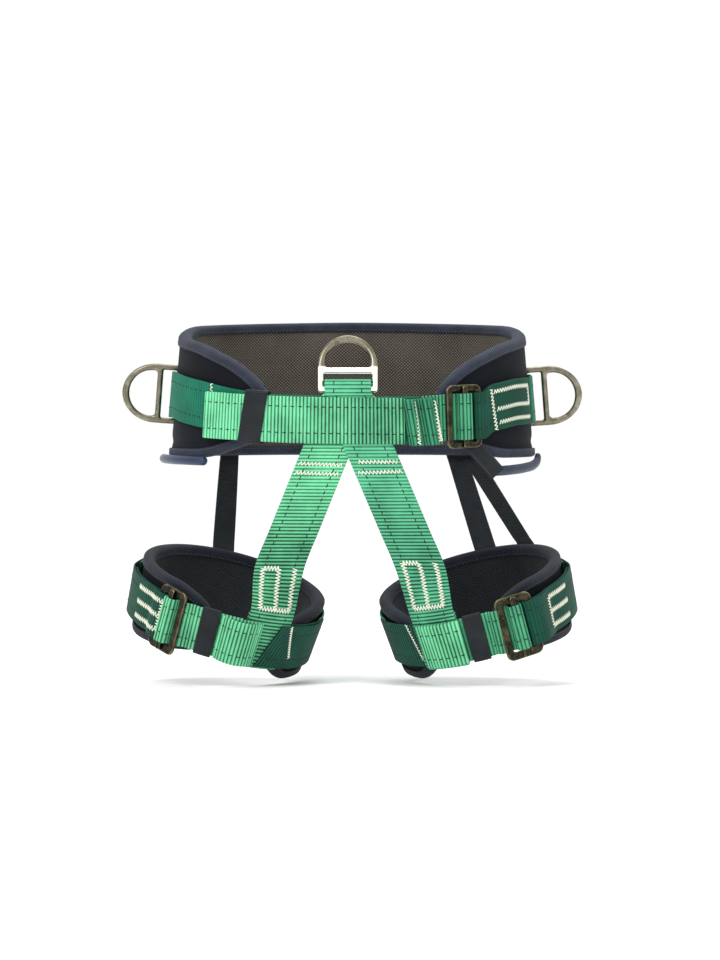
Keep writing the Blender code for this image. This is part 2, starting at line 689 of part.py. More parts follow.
def build_leg_strap(side, nest):
    """The lower part of one bridge strap: down over the leg band, round it and up behind it."""
    wrap = LEGS[side]
    fore = BELT_FRONT_OUT + PLY_STEP * (1 + nest) + WEB_THICK / 2
    top = bridge_station(side, fore, HINGE_UP - HINGE_GAP)
    box_y = wrap.point(STRAP_END_TURN, layer(LEG_THICK, 2), 0.06).y
    box = Vector((bridge_x(side, BOX_TOP_UP), box_y, BOX_TOP_UP))
    slant_width = top[2]
    sign = -1 if side == "left" else 1

    def on_band(out, up, face_out, face_up):
        """A section across the strap that follows the ring's curve."""
        degrees = WEB_WIDTH / wrap.turn_rate(STRAP_END_TURN, out)
        lateral = [i / 4 - 0.5 for i in range(5)]
        half = WEB_THICK / 2
        section = []
        for order, face in ((lateral, -half), (reversed(lateral), half)):
            for u in order:
                turn = STRAP_END_TURN + sign * u * degrees
                section.append(wrap.point(turn, out + face_out * face, up + face_up * face))
        return section

    rear_ply, middle_ply, front_ply = (layer(LEG_THICK, k) for k in range(3))
    edge = WEB_WIDTH / 2
    across = Vector((1, 0, 0))
    stations = [top] + [(top[0].lerp(box, p), across, slant_width, 1 - p) for p in (0.33, 0.66, 1.0)]
    sections = ribbon_sections(stations, strips=4)
    sections += [on_band(front_ply, up, 1, 0) for up in (0.030, edge, 0.0, -edge)]
    sections.append(on_band(front_ply - 0.0006, -edge - 0.0015, 0.7, -0.7))
    sections.append(on_band(middle_ply, -edge - 0.0022, 0, -1))
    sections.append(on_band(rear_ply + 0.0006, -edge - 0.0015, -0.7, -0.7))
    sections += [on_band(rear_ply, up, -1, 0) for up in (-edge, 0.0, edge, 0.030)]
    loft(f"leg_strap_{side}", sections, green_webbing())


def build_leg(side):
    wrap = LEGS[side]
    outer_x = -1 if side == "left" else 1
    tip, far_tip = LEG_TIP_TURNS
    turns = [tip, tip + 1.5, tip + 5] + spread(20.0, 316.0, LEG_COLUMNS)
    turns += [far_tip - 5, far_tip - 1.5, far_tip]
    pad(f"leg_{side}", wrap, turns, LEG_TOP, LEG_BOTTOM, LEG_THICK)

    buckle_turn = LEG_BUCKLE_TURNS[side]
    buckle_out = layer(LEG_THICK, 1) + WEB_THICK / 2 + GAP + BUCKLE_DEPTH / 2 + 0.0002
    yaw = math.radians(LEG_BUCKLE_YAWS[side])
    place = wrap.matrix(buckle_turn, buckle_out + LEG_BUCKLE_LIFTS[side], 0.0, yaw=yaw)
    slide_frame(f"leg_{side}_buckle_frame", LEG_BUCKLE_LENGTH, LEG_BUCKLE_WIDTH, bronze_steel(), place)
    slide_bar(f"leg_{side}_buckle_bar", LEG_BUCKLE_LENGTH, bronze_steel(), place)

    back = [on_wrap(wrap, t, layer(LEG_THICK, 0), 0.0) for t in spread(96.0, 284.0, 20)]
    ribbon(f"leg_{side}_band", back, green_webbing())

    side_turns = [92.0, 84.0, 76.0, 68.0, 61.0, 54.0, 48.0]
    side_turns = [t for t in side_turns if t > buckle_turn + 16.0]
    fold = buckle_return(place, outer_x, LEG_BUCKLE_WIDTH)
    under = [on_wrap(wrap, t, layer(LEG_THICK, 1), 0.0) for t in side_turns]
    over = [on_wrap(wrap, t, layer(LEG_THICK, 2.6), 0.0) for t in reversed(side_turns)]
    ribbon(f"leg_{side}_side_strap", under + fold + over, dark_webbing())

    inner_turns = spread(-80.0, buckle_turn - 15.0, 16)
    run = [on_wrap(wrap, t, layer(LEG_THICK, 1), 0.0) for t in inner_turns]
    ribbon(f"leg_{side}_adjust_strap", run + buckle_roll(place, -outer_x), green_webbing())

    first, last = LEG_TAIL_TURNS[side]
    low = [on_wrap(wrap, t, layer(LEG_THICK, 3), 0.0) for t in spread(last + 1.0, first, 5)]
    bend = [on_wrap(wrap, first + 0.6, layer(LEG_THICK, 3.5), 0.0)]
    high = [on_wrap(wrap, t, layer(LEG_THICK, 4), 0.0) for t in spread(first, last, 5)]
    ribbon(f"leg_{side}_tail", low + bend + high, green_webbing())

    keeper = LEG_KEEPER_TURNS[side]
    sleeve(
        f"leg_{side}_keeper",
        wrap,
        spread(keeper - 5.2, keeper + 5.2, 5),
        layer(LEG_THICK, 1) - WEB_THICK / 2 - GAP,
        lambda t: 0.0,
        WEB_THICK + 2 * GAP + 0.0008,
        0.0008,
        black_elastic(),
    )


def build_suspenders():
    """Elastic webbing from just under the waist pad's edge to just above a leg pad's edge."""
    for name, (side, top_turn, foot_turn, depth) in SUSPENDERS.items():
        wrap = LEGS[side]
        top_up = along(mirrored_knots(WAIST_BOTTOM), top_turn) - 0.0022
        head = WAIST.point(top_turn, WAIST_THICK * depth, top_up)
        foot = wrap.point(foot_turn, LEG_THICK / 2, along(LEG_TOP, foot_turn) + 0.0022)
        head_across = WAIST.basis(top_turn, 0, 0)[0]
        foot_across = wrap.basis(foot_turn, 0, 0)[0]
        if head_across.dot(foot_across) < 0:
            foot_across = -foot_across
        stations = []
        for i in range(6):
            part = i / 5
            across = head_across.lerp(foot_across, part)
            stations.append((head.lerp(foot, part), across))
        ribbon(name, stations, black_elastic(), ELASTIC_WIDTH, ELASTIC_THICK)


def build_gear_loops():
    colours = {"left": (0.015, 0.06, 0.15), "right": (0.012, 0.014, 0.018)}
    for side, (near, far) in GEAR_LOOPS.items():
        reach = WAIST_THICK + BIND_SKIN + GEAR_ROD + GAP * 3
        up = GEAR_UP[side]
        shape = ((0.0, 0.0, 0.006), (0.05, 0.004, 0.001), (0.22, 0.009, -0.003), (0.5, 0.011, -0.004))
        shape += tuple((1 - part, out, rise) for part, out, rise in reversed(shape[:-1]))
        route = [WAIST.point(near + (far - near) * part, reach + out, up + rise) for part, out, rise in shape]
        plastic = gear_plastic(f"gear_loop_{side}", colours[side])
        rod(f"gear_loop_{side}", route, GEAR_ROD, plastic, per_span=3)


def curve_centre(wrap, turn, out):
    """The centre of the circle that fits the surface near a turn."""
    before, middle, after = (wrap.point(turn + step, out, 0.0) for step in (-4, 0, 4))
    a = middle - before
    b = after - before
    n = a.cross(b)
    return before + (n.cross(a) * b.length_squared + b.cross(n) * a.length_squared) / (2 * n.length_squared)


def pivot(name, place, pieces):
    """An empty on a joint's axis, and the pieces that turn about it parented to it in place."""
    empty = bpy.data.objects.new(name, None)
    bpy.context.collection.objects.link(empty)
    empty.location = place
    bpy.context.view_layer.update()
    for piece in pieces:
        piece.parent = empty
        piece.matrix_parent_inverse = empty.matrix_world.inverted()
    return empty


def build_pivots():
    """The rings turn about their own origins; the leg loops and keepers turn about these."""
    belt_centre = curve_centre(WAIST, BELT_KEEPER_TURN, layer(WAIST_THICK, 1))
    pivot("belt_keeper_pivot", belt_centre, [bpy.data.objects["belt_keeper"]])
    for side, wrap in LEGS.items():
        keeper = bpy.data.objects[f"leg_{side}_keeper"]
        centre = curve_centre(wrap, LEG_KEEPER_TURNS[side], layer(LEG_THICK, 1))
        pivot(f"leg_{side}_keeper_pivot", centre, [keeper])
        loop = [o for o in bpy.data.objects if o.name.startswith(f"leg_{side}_") and not o.parent]
        loop.append(bpy.data.objects[f"leg_strap_{side}"])
        pivot(f"leg_{side}_pivot", (0.0, HINGE_Y, HINGE_UP), loop)


def build():
    clear_scene()
    build_waist()
    build_side_rings()
    build_front_ring()
    for nest, side in enumerate(("left", "right")):
        build_bridge(side, nest)
        build_leg_strap(side, nest)
        build_leg(side)
    build_suspenders()
    build_gear_loops()
    build_pivots()


build()
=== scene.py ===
"""The looks of the tree climbing saddle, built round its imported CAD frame: woven webbing with sewn
zigzag rows, padded belt and leg loops with ribbed bindings, forged rings and buckles.

Metres, +Z up, the wearer faces -Y, the origin is the middle of the waist opening. Left is -X.
"""

import math

import bpy
import numpy as np
from mathutils import Matrix, Vector


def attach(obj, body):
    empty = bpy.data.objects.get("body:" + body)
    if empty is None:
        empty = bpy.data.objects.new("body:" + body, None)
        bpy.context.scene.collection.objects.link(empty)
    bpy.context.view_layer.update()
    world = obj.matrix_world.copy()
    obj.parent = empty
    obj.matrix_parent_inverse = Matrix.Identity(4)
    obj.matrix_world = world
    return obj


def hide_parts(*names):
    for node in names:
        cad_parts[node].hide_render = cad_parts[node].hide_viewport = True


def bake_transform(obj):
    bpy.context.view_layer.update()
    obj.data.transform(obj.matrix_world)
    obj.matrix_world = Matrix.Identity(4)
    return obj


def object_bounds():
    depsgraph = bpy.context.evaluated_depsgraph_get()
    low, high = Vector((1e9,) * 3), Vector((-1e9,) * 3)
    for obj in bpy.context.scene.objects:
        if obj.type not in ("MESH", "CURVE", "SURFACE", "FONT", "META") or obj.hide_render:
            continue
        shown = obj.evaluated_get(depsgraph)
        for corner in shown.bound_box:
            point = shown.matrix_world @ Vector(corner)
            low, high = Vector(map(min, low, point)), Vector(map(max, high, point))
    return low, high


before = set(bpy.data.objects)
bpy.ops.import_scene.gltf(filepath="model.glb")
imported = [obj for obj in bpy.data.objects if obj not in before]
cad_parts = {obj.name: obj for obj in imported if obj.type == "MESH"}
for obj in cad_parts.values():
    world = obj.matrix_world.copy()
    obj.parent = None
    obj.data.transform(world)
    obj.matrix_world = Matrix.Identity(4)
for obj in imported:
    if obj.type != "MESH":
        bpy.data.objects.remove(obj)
cad_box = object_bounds()

SIDES = {"left": -1, "right": 1}
MIDDLE = (0, 0, 0)

# Webbing, as in the CAD
WEB_WIDTH = 0.045
WEB_THICK = 0.0016
PLY_STEP = 0.0021
PLY_CLEAR = 0.0030
ELASTIC_WIDTH = 0.022
GAP = 0.0004

# Waist pad, as in the CAD
WAIST_HALF_WIDTH = 0.1625
WAIST_HALF_DEPTH = 0.122
WAIST_THICK = 0.011
WAIST_FLARE = -0.083
WAIST_TIP_TURN = 28.0
WAIST_TOP = [(28, -0.008), (32, 0.012), (42, 0.031), (61, 0.047), (85, 0.053), (108, 0.062), (180, 0.064)]
WAIST_BOTTOM = [(28, -0.036), (33, -0.048), (53, -0.064), (80, -0.065), (110, -0.067), (180, -0.068)]

# Leg loops, as in the CAD
LEG_HALF_WIDTH = 0.0785
LEG_HALF_DEPTH = 0.083
LEG_THICK = 0.009
LEG_FLARE = 0.087
LEG_CENTRE = (0.1235, -0.035, -0.215)
LEG_ROLL = 15.0
LEG_PITCH = 12.0
LEG_TIP_TURNS = (6.0, 330.0)
LEG_TOP = [
    (6, 0.010), (12, 0.027), (33, 0.037), (85, 0.036), (275, 0.036), (300, 0.030), (318, 0.018), (330, 0.006),
]
LEG_BOTTOM = [
    (6, -0.014), (12, -0.024), (34, -0.033), (70, -0.040), (275, -0.040), (308, -0.040), (330, -0.018),
]
BIND_SKIN = 0.0009
EDGE_INSET = 0.0022

# Belt, as in the CAD
BELT_UP = [
    (-38, -0.0225), (-20, -0.0255), (0, -0.0250), (25, -0.0235), (40, -0.0190), (55, -0.0120), (80, -0.0032),
    (106, -0.0056), (180, -0.0060), (254, -0.0079), (275, -0.0080), (300, -0.0100), (318, -0.0190),
]
SIDE_RING_TURNS = (106.0, 254.0)
SIDE_RING_LEAN = 4.5
FRONT_STRAP_TURNS = (52.5, -16.5)
FRONT_STRAP_UP = [(-17, -0.0265), (20, -0.0250), (60, -0.0205)]
FRONT_STRAP_OUT = 0.0187
BELT_FRONT_OUT = 0.0120
BELT_BUCKLE_TURN = -37.5
BELT_BUCKLE_SPIN = -2.0
BELT_KEEPER_TURN = 32.6
BELT_TAIL_TURNS = (-17.8, -28.5)

# Forged rings and buckles, as in the CAD
RING_WIDTH = 0.0585
RING_BOW_RISE = 0.0335
RING_SLOT = 0.0135
RING_BAR = 0.0058
RING_DEPTH = 0.0055
RING_SEAT = 0.0153
BAR_CLEAR = 0.0010
FRONT_BAR_UP = 0.0045
FRONT_RING_LEAN = 22.0
FRONT_BAR_OUT = 0.0128
LOOP_SLACK = 0.0030
LOOP_STEP = 0.0029
BUCKLE_LENGTH = 0.062
BUCKLE_WIDTH = 0.039
BUCKLE_BAR = 0.0062
BUCKLE_DEPTH = 0.0032
LEG_BUCKLE_LENGTH = 0.064
LEG_BUCKLE_WIDTH = 0.038
LEG_BUCKLE_BAR = 0.0080
SLIDE_BAR_WIDTH = 0.0060
SLIDE_BAR_DEPTH = 0.0030
PLATE_CLEAR = 0.0002

# Bridge straps and leg hardware, as in the CAD
BRIDGE_SLOPES = {"left": 0.402, "right": 0.425}
BRIDGE_MIDDLE = -0.004
BRIDGE_START_UP = -0.003
HINGE_UP = -0.067
BOX_TOP_UP = -0.166
STRAP_END_TURN = -27.0
LEG_BUCKLE_TURNS = {"left": 31.0, "right": 20.0}
LEG_BUCKLE_YAWS = {"left": -14.0, "right": -9.0}
LEG_BUCKLE_LIFTS = {"left": 0.0042, "right": 0.0028}
LEG_KEEPER_TURNS = {"left": 7.5, "right": -4.5}
LEG_TAIL_TURNS = {"left": (-0.5, -22.0), "right": (-13.0, -38.0)}
SUSPENDERS = {
    "suspender_left_rear": ("left", 137.0, 169.0, 0.5),
    "suspender_right_rear": ("right", 215.0, 166.0, 0.78),
    "suspender_right_side": ("right", 220.5, 138.0, 0.25),
}
GEAR_TUBE_TURNS = (51.0, 84.5)
GEAR_TUBE_UP = -0.0665
GEAR_ROD = 0.0045
GEAR_HANDLE_ROD = 0.0032
GEAR_HANDLE = [
    (311.0, 0.0125, -0.0765), (305.0, 0.0130, -0.0762), (298.0, 0.0135, -0.0755), (291.0, 0.0145, -0.0742),
    (285.0, 0.0162, -0.0720), (281.5, 0.0175, -0.0680), (280.0, 0.0178, -0.0615),
]

# Weave
RIB_PITCH = 0.0036
RIB_RISE = 0.00042
RIB_STEPS = 8
YARN_PITCH = 0.0011
TWILL_PITCH = 0.0016
TAPE_THREAD = 0.0009
MESH_PITCH = 0.0034
TRACER_EDGE = 0.0098
TRACER_PITCH = 0.0076
TRACER_LENGTH = 0.0043
THREAD = 0.00054
SMOOTH_RIB = 0.00012
LEG_RIB_PITCH = 0.00365
ROW_PLACES = 7
BRIDGE_PLACES = 9

# Edge bindings
BIND_CROWN = 0.0035
BIND_FLANKS = (0.0090, 0.0062)
SEAM_IN = 0.0072
SEAM_PITCH = 0.0038
SEAM_STITCH = 0.0029
SEAM_THREAD = 0.00026

# Forged skins
RING_ROUND = 0.0024
BUCKLE_ROUND = 0.0013
SLIDE_BAR_ROUND = 0.0011
GRAIN = 0.00042
SLIDE_BAR_GRAIN = 0.00036


# ---------------------------------------------------------------- shapes


def along(knots, turn):
    """Heights at turns, on straight lines between knots."""
    turns, values = zip(*knots)
    return np.interp(turn, turns, values)


def eased(knots, turn):
    """Heights at turns, with the corners between the straight lines rounded off."""
    turn = np.asarray(turn, float)
    room = np.minimum(np.minimum(turn - knots[0][0], knots[-1][0] - turn) * 0.6, 6.0)
    return sum(along(knots, turn + room * part) for part in np.linspace(-1, 1, 9)) / 9


def mirrored(knots):
    """Knots for the right half, carried on over the left."""
    return knots + [(360 - turn, value) for turn, value in reversed(knots[:-1])]


def runs_of(points):
    """Metres along a line of points, from 0 at the first."""
    return np.concatenate([[0.0], np.cumsum(np.linalg.norm(np.diff(points, axis=0), axis=1))])


class Wrap:
    """A surface round the body, the same as in the CAD: a place on it is a turn in degrees from the
    front, a distance out from the pad's inner face, and a distance up from the middle."""

    def __init__(self, centre, half_width, half_depth, flare, roll=0.0, pitch=0.0, side=1):
        self.centre = np.array(centre, float)
        self.half_width = half_width
        self.half_depth = half_depth
        self.flare = flare
        self.side = side
        lean = Matrix.Rotation(math.radians(roll * side), 3, "Y")
        self.tilt = np.array(lean @ Matrix.Rotation(math.radians(pitch), 3, "X"))

    def points(self, turn, out, up):
        turn, out, up = np.broadcast_arrays(*(np.asarray(a, float) for a in (turn, out, up)))
        sine = np.sin(np.radians(turn))
        cosine = np.cos(np.radians(turn))
        normal_x = -sine / self.half_width
        normal_y = -cosine / self.half_depth
        push = (out + self.flare * up) / np.hypot(normal_x, normal_y)
        x = -self.half_width * sine + normal_x * push
        y = -self.half_depth * cosine + normal_y * push
        return self.centre + np.stack([x * self.side, y, up], -1) @ self.tilt.T

    def point(self, turn, out, up):
        return Vector(self.points(turn, out, up))

    def basis(self, turn, out, up):
        """Directions there: along a rising turn, outward and up the surface."""
        step = 0.5
        middle = self.point(turn, out, up)
        ahead = (self.point(turn + step, out, up) - self.point(turn - step, out, up)).normalized()
        rise = (self.point(turn, out, up + 0.001) - middle).normalized()
        outward = (self.point(turn, out + 0.001, up) - middle).normalized()
        return ahead, outward, rise

    def matrix(self, turn, out, up, spin=0.0, yaw=0.0):
        """A placement there: X to the right as seen from outside, Y inward and Z up."""
        _, outward, rise = self.basis(turn, out, up)
        inward = -outward
        x = inward.cross(rise).normalized()
        z = x.cross(inward).normalized()
        turned = Matrix((x, inward, z)).transposed().to_4x4()
        turned = turned @ Matrix.Rotation(spin, 4, "Y") @ Matrix.Rotation(yaw, 4, "Z")
        return Matrix.Translation(self.point(turn, out, up)) @ turned

    def lengths(self, out=0.0):
        """A table of turns and the metres along the surface from turn 0 to each."""
        turns = np.arange(-90.0, 450.5, 0.5)
        run = runs_of(self.points(turns, out, 0.0))
        return turns, run - np.interp(0.0, turns, run)


WAIST = Wrap((0, 0, 0), WAIST_HALF_WIDTH, WAIST_HALF_DEPTH, WAIST_FLARE)
LEGS = {
    side: Wrap((sign * LEG_CENTRE[0], *LEG_CENTRE[1:]), LEG_HALF_WIDTH, LEG_HALF_DEPTH, LEG_FLARE,
               LEG_ROLL, LEG_PITCH, -sign)
    for side, sign in SIDES.items()
}


def layer(thick, ply):
    """How far out a ply of webbing has its middle, on a pad of that thickness."""
    return thick + PLY_CLEAR + WEB_THICK / 2 + ply * PLY_STEP


def hermite(rows, at, targets):
    """Rows given at places, read at other places on smooth curves through them."""
    slopes = np.gradient(rows, at, axis=0)
    i = np.clip(np.searchsorted(at, targets, side="right") - 1, 0, len(at) - 2)
    shape = (-1,) + (1,) * (rows.ndim - 1)
    span = (at[i + 1] - at[i]).reshape(shape)
    t = ((targets - at[i]).reshape(shape)) / span
    t2, t3 = t * t, t * t * t
    return (
        (2 * t3 - 3 * t2 + 1) * rows[i]
        + (t3 - 2 * t2 + t) * span * slopes[i]
        + (3 * t2 - 2 * t3) * rows[i + 1]
        + (t3 - t2) * span * slopes[i + 1]
    )


def even_rows(rows, step):
    """Rows of points resampled evenly along their middle, and the step that came out."""
    at = runs_of(rows.mean(axis=1))
    count = max(3, int(round(at[-1] / step)))
    return hermite(rows, at, np.linspace(0.0, at[-1], count + 1)), at[-1] / count


def unit(vectors):
    return vectors / np.maximum(np.linalg.norm(vectors, axis=-1, keepdims=True), 1e-12)


def signed_volume(points, closed):
    """Six times the volume inside rows of rings, negative where they turn inside out."""
    points = points - points.reshape(-1, 3).mean(0)
    a = points if closed else points[:-1]
    d = np.roll(points, -1, 0) if closed else points[1:]
    b, c = np.roll(a, -1, 1), np.roll(d, -1, 1)
    return (a * (np.cross(b, c) + np.cross(c, d))).sum()


def linked(name, data):
    """A new object in the scene that holds the data."""
    made = bpy.data.objects.new(name, data)
    bpy.context.scene.collection.objects.link(made)
    return made


def woven(name, points, polygons, weave):
    """A smooth object of those points and faces, with a Weave map."""
    mesh = bpy.data.meshes.new(name)
    mesh.from_pydata(points.tolist(), [], polygons)
    mesh.uv_layers.new(name="Weave").data.foreach_set("uv", weave.astype(np.float32).ravel())
    mesh.shade_smooth()
    return linked(name, mesh)


def quads(low, high):
    """The faces between rows of rings and the next rows."""
    return np.stack([low, np.roll(low, -1, 1), np.roll(high, -1, 1), high], -1).reshape(-1, 4)


def quad_weave(run, lateral):
    """The same faces' corners in the Weave map."""
    u = np.stack([run[:-1], run[:-1], run[1:], run[1:]], -1)[:, None]
    v = np.stack([lateral[:-1], lateral[1:], lateral[1:], lateral[:-1]], -1)[None]
    return np.stack(np.broadcast_arrays(u, v), -1).reshape(-1, 2)


def ends_of(index):
    """The faces that close the first and last ring."""
    return [index[0][::-1].tolist(), index[-1].tolist()]


def ring_mesh(name, points, row_uv, column_uv, closed=False, slots=None):
    """A closed body through rows of rings, with a Weave map of metres along and across it. Slots are
    the material slots of the faces round a ring."""
    rows, columns = points.shape[:2]
    slots = np.zeros(columns, int) if slots is None else slots
    if signed_volume(points, closed) < 0:
        points = points[:, ::-1]
        column_uv = np.append(column_uv[:-1][::-1], column_uv[-2])
        slots = slots[(columns - 2 - np.arange(columns)) % columns]
    index = np.arange(rows * columns).reshape(rows, columns)
    faces = quads(index, np.roll(index, -1, 0)) if closed else quads(index[:-1], index[1:])
    polygons = faces.tolist()
    weave = quad_weave(row_uv, column_uv)
    if not closed:
        polygons += ends_of(index)
        first, last = (np.stack([np.full(columns, row_uv[k]), column_uv[:columns]], -1) for k in (0, -1))
        weave = np.concatenate([weave, first[::-1], last])
    made = woven(name, points.reshape(-1, 3), polygons, weave)
    of_faces = np.zeros(len(polygons), np.int32)
    of_faces[: len(faces)] = np.tile(slots, len(faces) // columns)
    made.data.polygons.foreach_set("material_index", of_faces)
    return made


def ribs(lengths, pitch, sharpness=3.0):
    """How far up a cord-like rib a place is, from 0 in the groove to 1 on the crest."""
    return 1 - np.abs(2 * (lengths / pitch % 1) - 1) ** sharpness


class Strap:
    """Webbing laid along rows of points across it. The rows are resampled evenly, and the outer face
    is the one that looks away from a centre, at a share of the way along."""

    def __init__(self, rows, centre, seen_at=0.5, thick=WEB_THICK, rib=RIB_RISE, pitch=RIB_PITCH):
        rows = np.asarray(rows, float)
        self.thick = thick
        self.rib = rib
        self.pitch = pitch
        rows, self.step = even_rows(rows, pitch / RIB_STEPS)
        width = np.linalg.norm(np.diff(rows[len(rows) // 2], axis=0), axis=1).sum()
        self.width = width
        edge = np.array([0.0, 0.00025, 0.0007, 0.0014])
        inner = np.linspace(0.0030, width - 0.0030, 10)
        self.lateral = np.concatenate([edge, inner, width - edge[::-1]]) - width / 2
        share = np.linspace(-width / 2, width / 2, rows.shape[1])
        middle = hermite(rows.transpose(1, 0, 2), share, self.lateral).transpose(1, 0, 2)
        self.middle = middle
        self.run = np.arange(len(middle)) * self.step
        self.length = self.run[-1]
        normal = unit(np.cross(np.gradient(middle, axis=0), np.gradient(middle, self.lateral, axis=1)))
        row = int(seen_at * (len(middle) - 1))
        facing = (normal[row] * (middle[row] - np.asarray(centre, float))).sum()
        self.normal = normal if facing > 0 else -normal
        from_edge = width / 2 - np.abs(self.lateral)
        inside = 1 - np.clip(from_edge / (thick * 0.55), 0, 1)
        self.half = thick / 2 * np.sqrt(1 - 0.94 * inside * inside)
        self.fade = np.clip(from_edge / 0.0012, 0.0, 1.0)

    def body(self, name):
        rise = ribs(self.run, self.pitch)[:, None] * self.fade[None] * self.rib
        sink = self.rib * 0.35 * self.fade[None]
        lift = (self.half[None] + rise - sink)[..., None] * self.normal
        outer = self.middle + lift
        inner = self.middle - lift
        ring = np.concatenate([outer, inner[:, ::-1]], axis=1)
        column_uv = np.concatenate([self.lateral, self.lateral[::-1], self.lateral[:1]])
        return ring_mesh(name, ring, self.run, column_uv)

    def seen(self, x, z):
        """The (along, across) of the place on the outer face that is seen at x, z from the front."""
        off = np.hypot(self.middle[..., 0] - x, self.middle[..., 2] - z)
        off = off + 0.05 * (self.normal[..., 1] > -0.15) + 0.2 * np.maximum(self.middle[..., 1], 0)
        row, column = np.unravel_index(np.argmin(off), off.shape)
        return self.run[row], self.lateral[column]

    def at(self, run, lateral, lift=0.0):
        """Points on the outer face, and the way it looks there."""
        run, lateral, lift = np.broadcast_arrays(*(np.asarray(a, float) for a in (run, lateral, lift)))
        row = np.clip(run / self.step, 0, len(self.run) - 1.001)
        i = row.astype(int)
        part = (row - i)[:, None]
        column = np.interp(lateral, self.lateral, np.arange(len(self.lateral)))
        j = np.clip(column.astype(int), 0, len(self.lateral) - 2)
        side = (column - j)[:, None]

        def blend(grid):
            low = grid[i, j] * (1 - side) + grid[i, j + 1] * side
            high = grid[i + 1, j] * (1 - side) + grid[i + 1, j + 1] * side
            return low * (1 - part) + high * part

        normal = unit(blend(self.normal))
        return blend(self.middle) + normal * (self.thick / 2 + lift)[:, None], normal


def tube_rings(path, normals, radius, sides, flat=0.8):
    """Rings round a path, flattened along the normals."""
    ahead = unit(np.gradient(path, axis=0))
    across = unit(np.cross(ahead, normals))
    lift = unit(np.cross(across, ahead))
    turn = (2 * np.pi * np.arange(sides) / sides)[None, :, None]
    size = np.broadcast_to(np.asarray(radius, float), (len(path),))[:, None, None]
    ring = across[:, None] * np.cos(turn) + lift[:, None] * (flat * np.sin(turn))
    return path[:, None] + ring * size


def many_tubes(name, tubes):
    """One object of many small closed tubes, each an array of rings."""
    vertices, polygons, maps, base = [], [], [], 0
    for rings in tubes:
        if signed_volume(rings, False) < 0:
            rings = rings[:, ::-1]
        rows, columns = rings.shape[:2]
        index = base + np.arange(rows * columns).reshape(rows, columns)
        polygons += quads(index[:-1], index[1:]).tolist() + ends_of(index)
        vertices.append(rings.reshape(-1, 3))
        base += rows * columns
        maps.append(quad_weave(runs_of(rings.mean(1)), np.arange(columns + 1) / columns * 0.002))
        maps.append(np.zeros((2 * columns, 2)))
    return woven(name, np.concatenate(vertices), polygons, np.concatenate(maps))


def zigzag(strap, start, end, swing=0.0021, pitch=0.0036, radius=THREAD):
    """A row of zigzag stitches on a strap, from (along, across) to (along, across)."""
    start, end = np.array(start, float), np.array(end, float)
    length = np.linalg.norm(end - start)
    way = (end - start) / length
    side = np.array([-way[1], way[0]])
    count = max(2, int(round(length / pitch * 2)))
    k = np.arange(count + 1)[:, None]
    corners = start + way * length * k / count + side * swing * np.where(k % 2, 1, -1)
    quarters = np.array([0.0, 0.25, 0.5, 0.75])[:, None]
    places = (corners[:-1, None] + np.diff(corners, axis=0)[:, None] * quarters).reshape(-1, 2)
    places = np.vstack([places, corners[-1:]])
    height = np.append(np.tile([0.15, 0.75, 0.95, 0.75], count), 0.15)
    lift = strap.rib * 0.45 + radius * (2 * height - 0.7)
    points, normals = strap.at(places[:, 0], places[:, 1], lift)
    return tube_rings(points, normals, radius, 5)


def stitch_line(strap, start, end):
    """A row of straight stitches, each a separate thread end to end."""
    start, end = np.array(start, float), np.array(end, float)
    whole = np.linalg.norm(end - start)
    way = (end - start) / whole
    length, gap, radius = 0.0026, 0.0009, 0.0003
    tubes = []
    for k in range(int(whole / (length + gap))):
        t = k * (length + gap) + np.array([0.0, 0.15, 0.5, 0.85, 1.0]) * length
        place = start + way * t[:, None]
        lift = strap.rib * 0.4 + radius * np.array([-0.9, 0.3, 0.7, 0.3, -0.9])
        points, normals = strap.at(place[:, 0], place[:, 1], lift)
        tubes.append(tube_rings(points, normals, radius, 5))
    return tubes


def tracers(strap, start=0.0):
    """The dark tracer yarns near both edges, showing as dashes that dive between the ribs."""
    tubes = []
    for lateral in (TRACER_EDGE - strap.width / 2, strap.width / 2 - TRACER_EDGE):
        for place in np.arange(start + 0.002, strap.length - TRACER_LENGTH, TRACER_PITCH):
            t = place + np.array([0.0, 0.12, 0.3, 0.5, 0.7, 0.88, 1.0]) * TRACER_LENGTH
            rib = (ribs(t, strap.pitch) - 0.35) * strap.rib
            lift = rib + np.array([-0.3, 0.0, 0.1, 0.14, 0.1, 0.0, -0.3]) * 0.001
            points, normals = strap.at(t, lateral, lift)
            tubes.append(tube_rings(points, normals, 0.00048, 5, 0.5))
    return tubes


def across_row(centre, across, width, places=ROW_PLACES):
    """A straight row across a strap."""
    lateral = np.linspace(-0.5, 0.5, places)[:, None]
    return np.array(centre)[None] + np.array(across)[None] * lateral * width


def lay(wrap, stations, slant=0.0):
    """Rows across a strap on a wrap, through stations of (turn, out, up). A slant, in degrees from the
    lower edge to the upper, is for every row; a station may give its own as a fourth number."""
    lateral = np.linspace(-WEB_WIDTH / 2, WEB_WIDTH / 2, ROW_PLACES)
    rows = []
    for turn, out, up, *own in stations:
        lean = (own[0] if own else slant) * lateral / WEB_WIDTH
        rows.append(wrap.points(turn + lean, out, up + lateral))
    return rows


def on_plate(placement, x, y):
    """A row across a strap beside a buckle, its width along the buckle's own Z."""
    return [placement @ Vector((x, y, z)) for z in np.linspace(-WEB_WIDTH / 2, WEB_WIDTH / 2, ROW_PLACES)]


# ---------------------------------------------------------------- finishes


